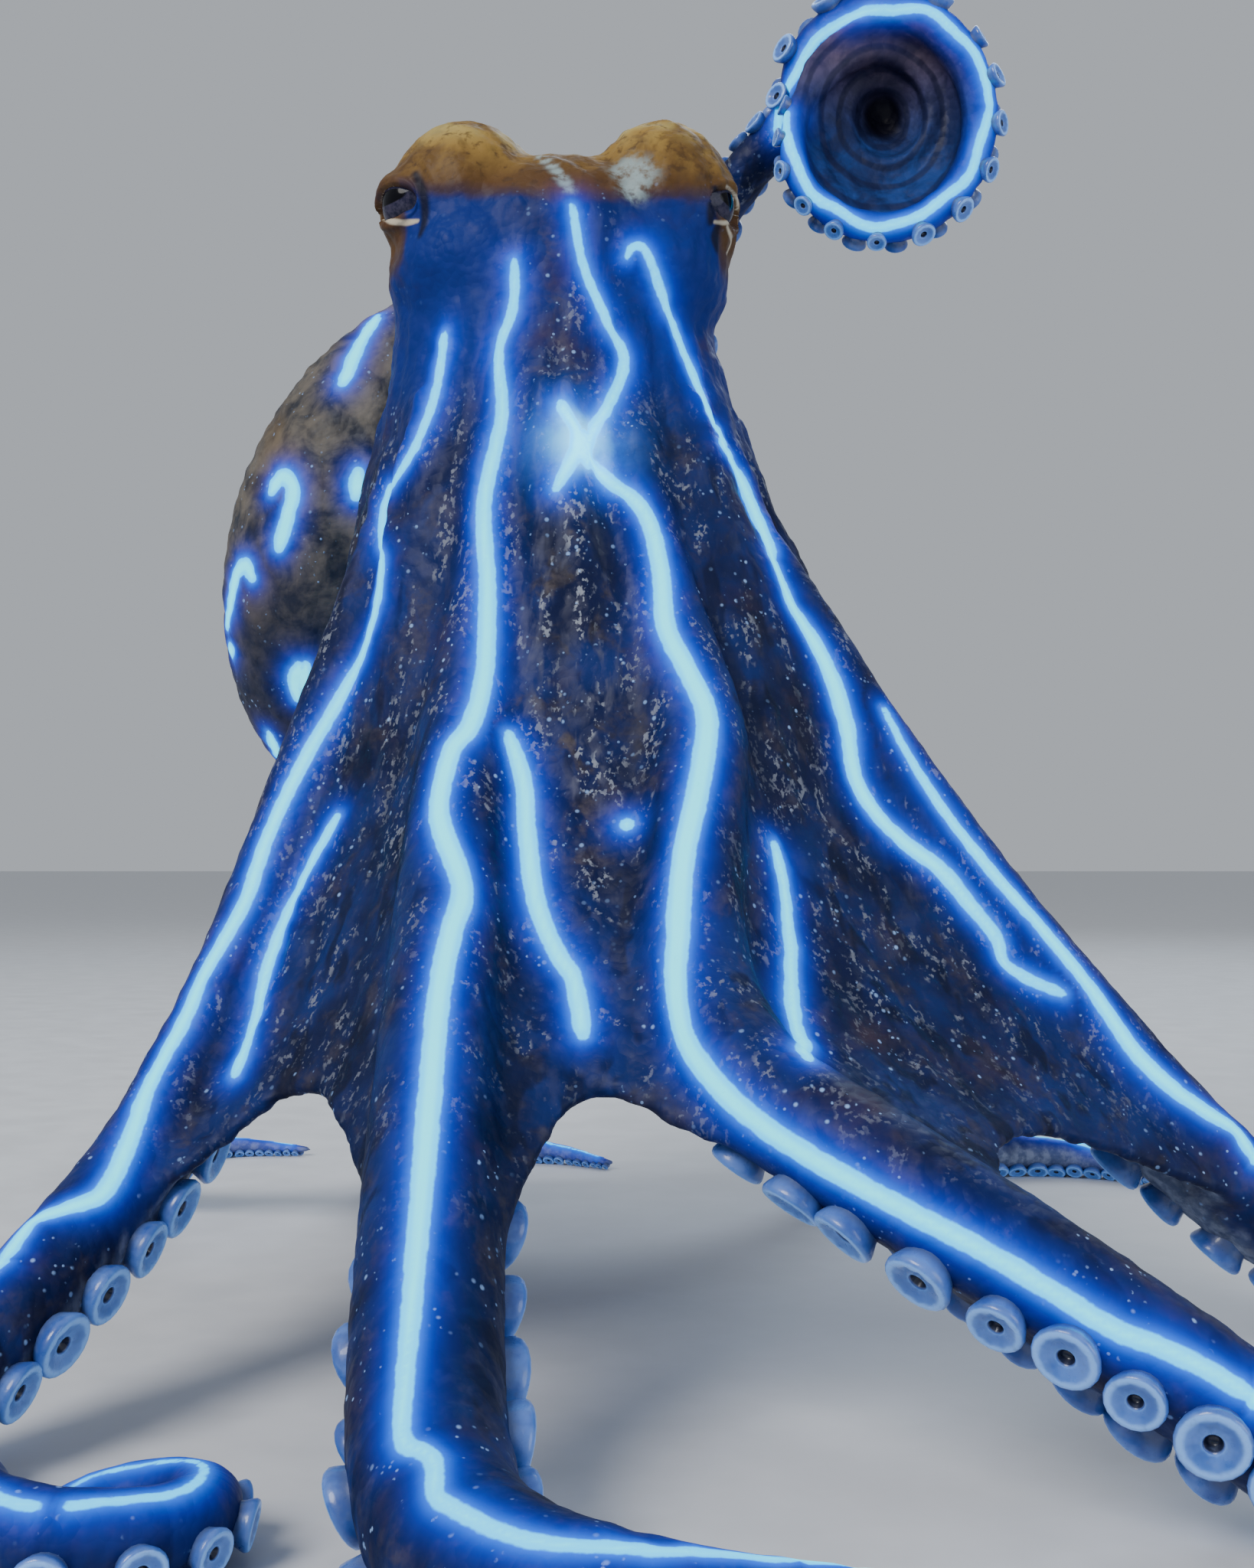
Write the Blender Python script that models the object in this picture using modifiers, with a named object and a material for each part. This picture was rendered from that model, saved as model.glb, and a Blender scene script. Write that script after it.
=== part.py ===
"""A blue-lined octopus at life size, standing on its spread arms with one arm raised in a coil.

Shapes are made in millimetres and each finished mesh is scaled to metres. X runs to the
animal's left, Y to its back and Z up from the floor. Arms are numbered from the front, one to
four on the animal's right (r) and on its left (l).
"""

import math
import random

import bmesh
import bpy
import numpy as np
from mathutils import Matrix, Vector

METRES = 0.001
GAP = 0.3  # between neighbouring pieces
ORIGIN = (18.9, -0.1)  # floor point under the middle of the whole, which becomes the origin

# Crown: the level where the head ends and the arms and webs begin
CROWN_Z = 47.0
CROWN_X = 0.55
ROOT_RING = (10.2, 9.6)  # half width and half depth of the ring of arm roots
ARM_AZIMUTHS = {"1": 22.5, "2": 67.5, "3": 112.5, "4": 157.5}

# Arms
ROOT_RADIUS = 2.55
TIP_RADIUS = 0.35
ARM_SIDES = 8
RING_STEP = 3.2  # most between the rings of an arm's mesh
RING_TURN = math.radians(26)  # most that an arm bends from one ring to the next
RING_DROP = 0.2  # least between the crown's end of an arm and its next ring
ORAL_FLAT = 0.86  # height of the sucker side against the round back
FLOOR_BLEND = 0.8  # how softly an arm settles on the floor
COIL_TALL = 1.14  # height of the raised coil against its width

# Suckers, in two rows
ROW_ANGLE = math.radians(42)  # either side of the middle of the oral face
SUCKER_BASE = 0.1
SUCKER_SHARE = 0.46  # of the arm's radius
SUCKER_HEIGHT = 0.65  # of its own radius
SUCKER_STEP = (2.9, 1.9)  # along the arm: a length plus this many sucker radii
SUCKER_SIZES = (0.92, 1.08)  # least and most of the usual size
SUCKER_CLEAR = 0.15  # from a sucker's edge to the end of its length of arm
FIRST_SUCKER = 4.0  # from the crown
TIP_BARE = 0.9  # from the last sucker's middle to the tip
STALK = 0.62  # radius at the sucker's foot, as a share of its rim
STALK_ROOT = 0.5  # where the foot starts, as a share of the way to the arm's surface
RIM_WIDTH = 0.38
CUP_DEPTH = 0.5  # of the sucker's height
SMALL_SUCKER = 0.5  # below this radius a sucker is a plain stub
FLOOR_PRESS = 0.2  # how far the rims are pressed flat on the floor

# Web
WEB_THICKNESS = 0.9
WEB_ROWS = 9
WEB_COLUMNS = 4

# Head
EYE_PLACE = (8.3, -3.2, 66.6)
EYE_RADIUS = 1.9
LID_THICKNESS = 0.55
GAZE = math.radians(62)  # from straight ahead to the side
SLIT = (1.5, 0.72)  # half width and half height of the opening between the lids

# Mantle
MANTLE_CENTRE = (-12.4, 19.5, 50.4)
MANTLE_AXIS = (-0.35, 0.13, -0.93)  # from the neck to the tip
MANTLE_HALF_LENGTH = 19.4
MANTLE_HALF_WIDTH = 12.2
MANTLE_HALF_DEPTH = 9.6
MANTLE_FULLNESS = 0.62  # 0.5 is an ellipsoid, more is pointed

UP = (0.0, 0.0, 1.0)
OUT = None  # outward from the body axis and up


def unit(vectors):
    vectors = np.asarray(vectors, float)
    return vectors / np.linalg.norm(vectors, axis=-1, keepdims=True)


def root_of(arm):
    """Where an arm's centre line crosses the crown."""
    side = 1 if arm[0] == "l" else -1
    azimuth = math.radians(ARM_AZIMUTHS[arm[1]])
    x = CROWN_X + side * ROOT_RING[0] * math.sin(azimuth)
    return (x, -ROOT_RING[1] * math.cos(azimuth), CROWN_Z)


def outward(point):
    away = np.array([point[0] - CROWN_X, point[1], 0.0])
    return unit(away) + np.array(UP)


def floor_coil(centre, turns, start_radius, ring_radius, end_radius, start_angle):
    """A coil lying on the floor, counter-clockwise from above, its suckers turned outwards."""
    rows = []
    count = round(turns * 10)
    for k in range(count + 1):
        share = k / count
        angle = math.radians(start_angle) + share * turns * math.tau
        enter = max(0.0, 1.0 - share * turns / 0.3)
        leave = max(0.0, (share * turns - 0.75) / (turns - 0.75))
        radius = ring_radius + (start_radius - ring_radius) * enter**1.6
        radius += (end_radius - ring_radius) * leave
        away = np.array([math.cos(angle), math.sin(angle), 0.0])
        place = np.array([centre[0], centre[1], 0.0]) + radius * away
        rows.append((*place, *(np.array(UP) - 0.7 * away)))
    return rows


def raised_coil(centre, axis, turns, ring_radii, inner_radius, end_radius, start_depth):
    """A coil held up facing the front: one open ring, then tighter turns behind it."""
    rows = []
    count = round(turns * 11)
    for k in range(count + 1):
        turn = turns * k / count
        angle = turn * math.tau
        arrive = max(0.0, 1.0 - turn / 0.42)
        inward = min(1.0, max(0.0, (turn - 0.9) / 0.25))
        tighten = max(0.0, (turn - 1.15) / (turns - 1.15))
        depth = start_depth * arrive * arrive * (3 - 2 * arrive) + 1.9 * inward + 2.4 * tighten
        radius = ring_radii[0] + (ring_radii[1] - ring_radii[0]) * min(1.0, turn)
        radius += (inner_radius - ring_radii[1]) * inward * inward * (3 - 2 * inward)
        radius += (end_radius - inner_radius) * tighten
        away = np.array([-math.cos(angle), 0.0, math.sin(angle)])
        place = np.array(centre) + depth * np.array(axis) + radius * away * (1.0, 1.0, COIL_TALL)
        tilt = math.radians(12 + 50 * inward)
        back = -math.cos(tilt) * away - math.sin(tilt) * np.array([0.0, 1.0, 0.0])
        rows.append((*place, *back))
    return rows


def rows_of(points):
    """Waypoints with the direction that the arm's back faces at each."""
    rows = []
    for *place, back in points:
        rows.append((*place, *(outward(place) if back is OUT else unit(back))))
    return rows


UP_LEFT = (-0.5, 0.0, 0.87)
TO_HEAD = (-0.5, -0.87, 0.0)
TO_FRONT = (0.2, -1.0, 0.1)

ARMS = {
    "r1": {
        "way": rows_of([
            (*root_of("r1"), OUT), (-3.6, -10.8, 40.5, OUT), (-4.2, -14.0, 33.5, OUT),
            (-4.5, -18.5, 26.5, OUT), (-4.4, -24.0, 19.5, OUT), (-4.2, -30.0, 13.0, OUT),
            (-3.8, -36.0, 7.6, OUT), (-3.0, -41.6, 4.6, (0, -0.4, 0.9)),
            (-1.2, -46.4, 2.0, (-0.2, -0.2, 1)), (2.4, -50.0, 0.0, (-0.2, 0.0, 1)),
            (8.0, -51.5, 0.0, (0, 0.3, 0.9)), (15.0, -51.7, 0.0, (0, 0.3, 0.9)),
            (24.0, -51.4, 0.0, UP), (34.0, -51.8, 0.0, UP), (46.0, -54.4, 0.0, UP),
        ]),
        "cuts": {"upper": 0.32, "middle": 0.52, "foot": 0.68, "end": 1.0},
        "taper": (3.2, 0.42),
    },
    "l1": {
        "way": rows_of([
            (*root_of("l1"), OUT), (6.0, -11.2, 40.5, OUT), (7.8, -14.5, 34.0, OUT),
            (7.6, -18.5, 27.5, OUT), (7.4, -22.5, 21.6, OUT), (9.8, -27.2, 17.0, OUT),
            (15.8, -32.0, 13.2, (0.2, -0.2, 1)), (22.6, -35.4, 8.9, (0.3, 0.3, 0.9)),
            (28.7, -36.9, 4.8, (0.1, 0.4, 0.9)), (35.5, -37.6, 0.0, (0, 0.5, 0.8)),
            (44.0, -37.2, 0.0, (0, 0.4, 0.9)), (53.0, -34.0, 0.0, UP),
            (61.0, -28.0, 0.0, UP), (67.0, -20.0, 0.0, UP), (70.0, -12.0, 0.0, UP),
        ]),
        "cuts": {"upper": 0.3, "middle": 0.56, "lower": 0.79, "end": 1.0},
        "taper": (3.2, 0.22),
    },
    "l2": {
        "way": rows_of([
            (*root_of("l2"), OUT), (14.1, -5.2, 40.3, OUT), (17.5, -6.6, 34.0, OUT),
            (22.8, -8.2, 26.0, OUT), (28.7, -9.5, 18.3, (0.5, 0.1, 0.8)),
            (34.3, -10.8, 11.8, (0.3, 0.5, 0.8)), (39.8, -11.6, 7.2, (0.2, 0.5, 0.8)),
            (46.5, -11.8, 4.0, (0, 0.4, 0.9)), (54.5, -11.0, 0.0, UP),
            (63.0, -8.0, 0.0, UP), (71.0, -3.0, 0.0, UP), (77.5, 4.5, 0.0, UP),
        ]),
        "cuts": {"upper": 0.31, "middle": 0.62, "end": 1.0},
        "taper": (3.2, 0.36),
    },
    "l3": {
        "way": rows_of([
            (*root_of("l3"), OUT), (12.4, 6.6, 40.5, OUT), (15.2, 10.4, 35.6, OUT),
            (16.8, 14.8, 34.2, (0.0, 0.2, 1)), (16.0, 18.6, 37.6, (-0.6, -0.6, 0.4)),
            (12.8, 18.8, 44.5, TO_HEAD), (10.0, 17.0, 53.0, TO_HEAD),
            (8.4, 14.6, 61.0, TO_HEAD), (8.6, 12.2, 67.0, TO_FRONT),
            (10.6, 9.4, 71.6, TO_FRONT),
        ]) + raised_coil((20.5, 2.0, 74.5), (0.15, 1.0, 0.43), 2.55, (6.1, 6.5), 3.9, 1.4, 4.6),
        "cuts": {
            "root": 0.11, "bend": 0.24, "rise": 0.36, "reach": 0.45, "coil_a": 0.53,
            "coil_b": 0.61, "coil_c": 0.69, "coil_d": 0.78, "coil_e": 0.88, "coil_f": 1.0,
        },
        "taper": (1.15, 0.0),
    },
    "l4": {
        "way": rows_of([
            (*root_of("l4"), OUT), (6.0, 12.0, 39.5, OUT), (9.0, 17.5, 29.5, OUT),
            (13.5, 24.0, 19.0, OUT), (19.0, 31.0, 9.5, OUT), (25.0, 37.6, 3.6, OUT),
            (32.0, 42.6, 0.0, UP), (39.5, 44.4, 0.0, UP), (46.0, 42.0, 0.0, UP),
            (49.5, 36.0, 0.0, UP), (48.0, 30.0, 0.0, UP),
        ]),
        "cuts": {"upper": 0.33, "middle": 0.65, "lower": 0.83, "end": 1.0},
        "taper": (3.0, 0.15),
    },
    "r2": {
        "way": rows_of([
            (*root_of("r2"), OUT), (-10.9, -5.0, 40.6, OUT), (-13.8, -7.2, 31.0, OUT),
            (-17.0, -10.8, 20.6, OUT), (-19.6, -15.6, 13.6, OUT), (-21.2, -19.0, 10.2, UP_LEFT),
            (-23.8, -25.0, 6.4, UP_LEFT), (-25.7, -28.8, 3.8, UP_LEFT), (-26.5, -32.6, 0.0, UP_LEFT),
            (-25.0, -36.4, 0.0, UP),
        ]) + floor_coil((-15.8, -38.7), 1.3, 6.1, 3.7, 1.2, 184),
        "cuts": {
            "upper": 0.26, "middle": 0.52, "lower": 0.76, "coil_a": 0.84,
            "coil_b": 0.92, "coil_c": 1.0,
        },
        "taper": (5.5, 0.1),
    },
    "r3": {
        "way": rows_of([
            (*root_of("r3"), OUT), (-12.0, 7.0, 40.0, OUT), (-15.6, 11.0, 31.0, OUT),
            (-19.6, 16.0, 22.0, OUT), (-24.4, 21.4, 13.5, OUT), (-30.0, 27.0, 6.8, OUT),
            (-35.4, 33.6, 0.0, UP), (-38.4, 41.0, 0.0, UP), (-37.6, 48.6, 0.0, UP),
            (-32.0, 53.6, 0.0, UP), (-25.0, 54.0, 0.0, UP),
        ]),
        "cuts": {"upper": 0.33, "middle": 0.64, "lower": 0.83, "end": 1.0},
        "taper": (3.0, 0.15),
    },
    "r4": {
        "way": rows_of([
            (*root_of("r4"), OUT), (-4.6, 11.6, 40.0, OUT), (-6.2, 16.0, 30.5, OUT),
            (-8.6, 23.0, 19.5, OUT), (-11.6, 31.0, 9.8, OUT), (-14.2, 38.4, 3.4, OUT),
            (-14.4, 45.0, 0.0, UP), (-9.4, 49.8, 0.0, UP), (-2.6, 50.2, 0.0, UP),
            (3.0, 46.6, 0.0, UP),
        ]),
        "cuts": {"upper": 0.33, "middle": 0.64, "lower": 0.82, "end": 1.0},
        "taper": (3.0, 0.15),
    },
}

# Each web lies between two neighbouring arms and runs this far along each of them
WEBS = (
    ("r1", "l1", 48.0, 46.0), ("l1", "l2", 56.0, 52.0), ("l2", "l3", 32.0, 14.5),
    ("l3", "l4", 12.5, 33.0), ("l4", "r4", 46.0, 46.0), ("r4", "r3", 46.0, 46.0),
    ("r3", "r2", 44.0, 44.0), ("r2", "r1", 46.0, 46.0),
)
WEB_CUT_UP = 0.2  # how much shorter a web is midway between its arms
WEB_SAG = 0.07  # of the distance between the arms
WEB_CLEAR = 0.7  # from an arm's side to the sheet's edge, as arms bend between its rows
WEB_START = 0.6  # from the crown along each arm
WEB_TOP = CROWN_Z - GAP - 0.25  # level of the sheet's middle at the crown
WEB_OUTSIDE = 0.45  # how far the sheet's edge lies toward the arms' backs

MATERIALS = {
    "head": ((0.20, 0.13, 0.05, 1), 0.42),
    "mantle": ((0.10, 0.09, 0.07, 1), 0.45),
    "skin": ((0.05, 0.06, 0.10, 1), 0.42),
    "web": ((0.04, 0.05, 0.12, 1), 0.40),
    "eye": ((0.01, 0.01, 0.02, 1), 0.08),
}


def clear_scene():
    for obj in list(bpy.data.objects):
        bpy.data.objects.remove(obj)


def make_collection(name, hidden=False):
    collection = bpy.data.collections.new(name)
    bpy.context.scene.collection.children.link(collection)
    collection.hide_render = hidden
    return collection


def make_material(name, kind):
    colour, roughness = MATERIALS[kind]
    material = bpy.data.materials.new(name)
    material.use_nodes = True
    shader = material.node_tree.nodes["Principled BSDF"]
    shader.inputs["Base Color"].default_value = colour
    shader.inputs["Roughness"].default_value = roughness
    shader.inputs["Metallic"].default_value = 0.0
    return material


def make_object(name, mesh, collection):
    obj = bpy.data.objects.new(name, mesh)
    collection.objects.link(obj)
    return obj


def helper(name, bm, collection):
    """A closed mesh that cuts or joins another and isn't part of the model itself."""
    mesh = bpy.data.meshes.new(name)
    bm.to_mesh(mesh)
    bm.free()
    obj = make_object(name, mesh, collection)
    obj.hide_render = True
    obj.display_type = "WIRE"
    return obj


def apply_modifiers(obj):
    bpy.context.view_layer.update()
    graph = bpy.context.evaluated_depsgraph_get()
    mesh = bpy.data.meshes.new_from_object(obj.evaluated_get(graph))
    obj.modifiers.clear()
    obj.data = mesh


def boolean(obj, other, operation, solver="EXACT"):
    """Joins or cuts with one object or with every object of a collection, and applies it."""
    modifier = obj.modifiers.new(operation.lower(), "BOOLEAN")
    modifier.operation = operation
    modifier.solver = solver
    if isinstance(other, bpy.types.Collection):
        modifier.operand_type = "COLLECTION"
        modifier.collection = other
    else:
        modifier.object = other
    apply_modifiers(obj)


def keep_largest(obj):
    """Leaves only the closed surface that encloses most."""
    bm = bmesh.new()
    bm.from_mesh(obj.data)
    bmesh.ops.remove_doubles(bm, verts=bm.verts, dist=0.001)
    unseen = set(bm.faces)
    shells = []
    while unseen:
        shell = {unseen.pop()}
        waiting = list(shell)
        while waiting:
            face = waiting.pop()
            near = {f for edge in face.edges for f in edge.link_faces} & unseen
            unseen -= near
            shell |= near
            waiting.extend(near)
        size = sum(face.calc_area() for face in shell)
        shells.append((size, shell))
    shells.sort(key=lambda entry: entry[0])
    for _, shell in shells[:-1]:
        bmesh.ops.delete(bm, geom=list(shell), context="FACES")
    bm.to_mesh(obj.data)
    bm.free()


def smooth_path(rows, step):
    """Even stations along a Catmull-Rom curve; columns after the third ride along."""
    p = np.array(rows, float)
    p = np.vstack([2 * p[0] - p[1], p, 2 * p[-1] - p[-2]])
    t = np.linspace(0, 1, 12, endpoint=False)[:, None]
    fine = []
    for a, b, c, d in zip(p, p[1:], p[2:], p[3:]):
        square, cube = t * t, t * t * t
        fine.append(
            0.5 * (2 * b + (c - a) * t + (2 * a - 5 * b + 4 * c - d) * square
                   + (3 * b - a - 3 * c + d) * cube)
        )
    fine = np.concatenate([*fine, p[-2][None]])
    steps = np.linalg.norm(np.diff(fine[:, :3], axis=0), axis=1)
    run = np.concatenate([[0.0], np.cumsum(steps)])
    stations = np.linspace(0, run[-1], max(3, round(run[-1] / step) + 1))
    return np.column_stack([np.interp(stations, run, column) for column in fine.T])


def arm_radius(share, taper):
    """Full at the crown, swelling midway and falling to the tip."""
    power, swell = taper
    full = (1 - share**power) * (1 + swell * 16 * (share * (1 - share)) ** 2)
    return TIP_RADIUS + (ROOT_RADIUS - TIP_RADIUS) * full


def sucker_radius(radius):
    return SUCKER_BASE + SUCKER_SHARE * radius


def rest_height(radius):
    """Height of the centre line where the suckers stand on the floor."""
    sucker = sucker_radius(radius)
    reach = ORAL_FLAT * radius + SUCKER_HEIGHT * sucker
    return reach * math.cos(ROW_ANGLE) + sucker * math.sin(ROW_ANGLE) - FLOOR_PRESS


class Arm:
    """The centre line of an arm with its radius and its facing, read at any distance along it."""

    def __init__(self, spec):
        rows = smooth_path(spec["way"], 0.5)
        self.taper = spec["taper"]
        share = np.linspace(0, 1, len(rows))
        rest = rest_height(arm_radius(share, self.taper))
        lift = rows[:, 2] - rest
        rows[:, 2] = rest + 0.5 * (lift + np.sqrt(lift * lift + FLOOR_BLEND**2))
        rows[0, 2] = CROWN_Z
        self.points = rows[:, :3]
        steps = np.linalg.norm(np.diff(self.points, axis=0), axis=1)
        self.run = np.concatenate([[0.0], np.cumsum(steps)])
        self.length = self.run[-1]
        self.tangents = unit(np.gradient(self.points, axis=0))
        backs = rows[:, 3:6]
        along = np.sum(backs * self.tangents, axis=1, keepdims=True)
        self.backs = unit(backs - along * self.tangents)
        turning = np.linalg.norm(np.gradient(self.tangents, axis=0), axis=1)
        bends = turning / np.gradient(self.run)
        self.ring_steps = RING_TURN / np.maximum(bends, RING_TURN / RING_STEP)
        suckers = sucker_radius(arm_radius(self.run / self.length, self.taper))
        self.sucker_steps = SUCKER_STEP[0] + SUCKER_STEP[1] * suckers

    def spread(self, low, high, steps):
        """Distances from low to high, each about one local step from the next."""
        fine = np.linspace(low, high, 80)
        local = np.interp(fine, self.run, steps)
        count = np.concatenate([[0.0], np.cumsum(np.diff(fine) / local[1:])])
        marks = np.linspace(0, count[-1], max(1, round(count[-1])) + 1)
        return np.interp(marks, count, fine)

    def read(self, table, distance):
        return np.array([np.interp(distance, self.run, column) for column in table.T])

    def at(self, distance):
        """Centre, tangent, back, side and radius."""
        tangent = unit(self.read(self.tangents, distance))
        back = self.read(self.backs, distance)
        back = unit(back - np.dot(back, tangent) * tangent)
        radius = arm_radius(distance / self.length, self.taper)
        return self.read(self.points, distance), tangent, back, np.cross(tangent, back), radius


def arm_ring(arm, distance):
    centre, _, back, side, radius = arm.at(distance)
    ring = []
    for k in range(ARM_SIDES):
        angle = math.tau * (k + 0.5) / ARM_SIDES
        height = math.cos(angle) * (1.0 if math.cos(angle) > 0 else ORAL_FLAT)
        ring.append(centre + radius * (height * back + math.sin(angle) * side))
    return ring


def crown_mitre(ring, tangent, level):
    """Slides the points of an arm's first ring along it until they lie in the crown's plane."""
    return [point + tangent * (level - point[2]) / tangent[2] for point in ring]


def arm_length(arm, start, end, at_crown, is_tip):
    """The closed tube of one length of an arm."""
    rings = [arm_ring(arm, distance) for distance in arm.spread(start, end, arm.ring_steps)]
    if at_crown:
        level = CROWN_Z - GAP
        rings[0] = crown_mitre(rings[0], arm.at(start)[1], level)
        below = level - RING_DROP
        rings[1:] = [ring for ring in rings[1:] if max(point[2] for point in ring) < below]
    bm = bmesh.new()
    loops = [[bm.verts.new(point) for point in ring] for ring in rings]
    for low, high in zip(loops, loops[1:]):
        for k in range(ARM_SIDES):
            following = (k + 1) % ARM_SIDES
            bm.faces.new((low[k], low[following], high[following], high[k]))
    bm.faces.new(loops[0][::-1])
    if is_tip:
        centre, tangent, _, _, radius = arm.at(end)
        point = bm.verts.new(centre + radius * tangent)
        for k in range(ARM_SIDES):
            bm.faces.new((loops[-1][k], loops[-1][(k + 1) % ARM_SIDES], point))
    else:
        bm.faces.new(loops[-1])
    bmesh.ops.recalc_face_normals(bm, faces=bm.faces)
    return bm


def sucker(centre, axis, reach, radius):
    """A cup on a short flared stalk, sunk well into the arm."""
    bm = bmesh.new()
    small = radius < SMALL_SUCKER
    root = STALK_ROOT * reach
    height = reach + SUCKER_HEIGHT * radius - root
    bmesh.ops.create_cone(
        bm, cap_ends=True, segments=5 if small else 6,
        radius1=STALK * radius, radius2=radius, depth=height,
    )
    bmesh.ops.translate(bm, verts=bm.verts, vec=(0, 0, root + height / 2))
    if not small:
        rim = max(bm.faces, key=lambda face: face.calc_center_median().z)
        bmesh.ops.inset_individual(bm, faces=[rim], thickness=RIM_WIDTH * radius)
        middle = bmesh.ops.poke(bm, faces=[rim])["verts"][0]
        middle.co.z -= CUP_DEPTH * SUCKER_HEIGHT * radius
    turn = Vector(axis).to_track_quat("Z", "Y").to_matrix().to_4x4()
    bmesh.ops.transform(bm, matrix=Matrix.Translation(Vector(centre)) @ turn, verts=bm.verts)
    return bm


def sucker_places(arm, low, high, is_tip):
    """Distances of the suckers on one length of an arm, clear of its ends."""
    first = low + SUCKER_SIZES[1] * sucker_radius(arm.at(low)[4]) + SUCKER_CLEAR
    last = high - SUCKER_SIZES[1] * sucker_radius(arm.at(high)[4]) - SUCKER_CLEAR
    if is_tip:
        last = high - TIP_BARE
    return arm.spread(max(FIRST_SUCKER, first), last, arm.sucker_steps)


def press_to_floor(obj):
    """Flattens what would reach below the floor, as soft suckers do."""
    for vertex in obj.data.vertices:
        vertex.co.z = max(0.0, vertex.co.z)


def add_arm(name, arm, spec, nodes):
    draw = random.Random("suckers " + name)
    row = 1
    start = 0.0
    for part, cut in spec["cuts"].items():
        end = cut * arm.length
        is_tip = cut == 1.0
        low = start + (GAP / 2 if start else 0)
        high = end - (0 if is_tip else GAP / 2)
        bm = arm_length(arm, low, high, at_crown=start == 0.0, is_tip=is_tip)
        mesh = bpy.data.meshes.new(name)
        bm.to_mesh(mesh)
        bm.free()
        obj = make_object(f"arm_{name}_{part}", mesh, nodes)
        cups = make_collection(obj.name + "_suckers", hidden=True)
        for distance in sucker_places(arm, low, high, is_tip):
            centre, _, back, side, radius = arm.at(distance)
            rim = sucker_radius(radius) * draw.uniform(*SUCKER_SIZES)
            axis = -math.cos(ROW_ANGLE) * back + row * math.sin(ROW_ANGLE) * side
            helper("sucker", sucker(centre, axis, ORAL_FLAT * radius, rim), cups)
            row = -row
        boolean(obj, cups, "UNION")
        keep_largest(obj)
        for cup in list(cups.objects):
            bpy.data.objects.remove(cup)
        bpy.data.collections.remove(cups)
        press_to_floor(obj)
        finish(obj, "skin", arm.at(low)[0])
        start = end


def web_side(toward, back):
    """The direction in which a web leaves an arm: never on its sucker side."""
    rise = np.dot(toward, back)
    return unit(toward - rise * back + (max(0.0, rise) + WEB_OUTSIDE) * back)


def add_web(first, second, first_run, second_run, arms, nodes):
    """A thin sheet hung between two arms, its free edge curving up between them."""
    bm = bmesh.new()
    grid = []
    for row in range(WEB_ROWS + 1):
        line = []
        for column in range(WEB_COLUMNS + 1):
            across = column / WEB_COLUMNS
            bow = math.sin(math.pi * across)
            down = row / WEB_ROWS * (1 - WEB_CUT_UP * bow)
            a, along_a, back_a, _, radius_a = arms[first].at(WEB_START + down * first_run)
            b, along_b, back_b, _, radius_b = arms[second].at(WEB_START + down * second_run)
            span = np.linalg.norm(b - a)
            from_a = unit(b - a - np.dot(b - a, along_a) * along_a)
            from_b = unit(a - b - np.dot(a - b, along_b) * along_b)
            edge_a = a + (radius_a + WEB_CLEAR) * web_side(from_a, back_a)
            edge_b = b + (radius_b + WEB_CLEAR) * web_side(from_b, back_b)
            place = edge_a + (edge_b - edge_a) * across
            inward = unit(back_a + back_b)
            place = place - WEB_SAG * span * down * bow * inward
            if row == 0:
                place[2] = WEB_TOP
            line.append(bm.verts.new(place))
        grid.append(line)
    for upper, lower in zip(grid, grid[1:]):
        for k in range(WEB_COLUMNS):
            bm.faces.new((upper[k], upper[k + 1], lower[k + 1]))
            bm.faces.new((upper[k], lower[k + 1], lower[k]))
    bmesh.ops.recalc_face_normals(bm, faces=bm.faces)
    mesh = bpy.data.meshes.new("web")
    bm.to_mesh(mesh)
    bm.free()
    obj = make_object(f"web_{first}_{second}", mesh, nodes)
    shell = obj.modifiers.new("thickness", "SOLIDIFY")
    shell.thickness = WEB_THICKNESS
    shell.offset = 0.0
    apply_modifiers(obj)
    finish(obj, "web", arms[first].at(0)[0])


def ellipsoid(bm, centre, radii, segments=24, rings=14):
    made = bmesh.ops.create_uvsphere(bm, u_segments=segments, v_segments=rings, radius=1.0)
    place = Matrix.Translation(Vector(centre)) @ Matrix.Diagonal((*radii, 1.0))
    bmesh.ops.transform(bm, matrix=place, verts=made["verts"])


HEAD_MASSES = (
    # centre, half sizes
    ((0.2, 0.0, 64.0), (8.8, 8.2, 6.4)),  # skull
    ((-5.7, -1.2, 66.6), (4.9, 5.6, 5.8)),  # right mound above its eye
    ((6.3, -1.2, 66.6), (4.8, 5.6, 5.8)),  # left mound
    ((-4.9, -1.0, 62.6), (5.6, 6.8, 4.6)),  # cheeks
    ((4.9, -1.0, 62.6), (5.6, 6.8, 4.6)),
    ((-3.6, 6.0, 61.0), (6.6, 6.4, 6.2)),  # nape, toward the mantle
)
# Level, middle, half width and half depth of the neck down to the crown
NECK = (
    (62.5, -0.5, 9.6, 8.2), (60.7, -0.45, 9.7, 8.3), (57.0, -0.1, 10.3, 8.9),
    (53.0, 0.15, 11.1, 9.8), (50.0, 0.4, 11.8, 10.8), (47.0, 0.55, 12.6, 11.9),
    (45.0, 0.6, 13.1, 12.4),
)
RIDGE = 0.45  # how far each arm stands out on the crown


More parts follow.
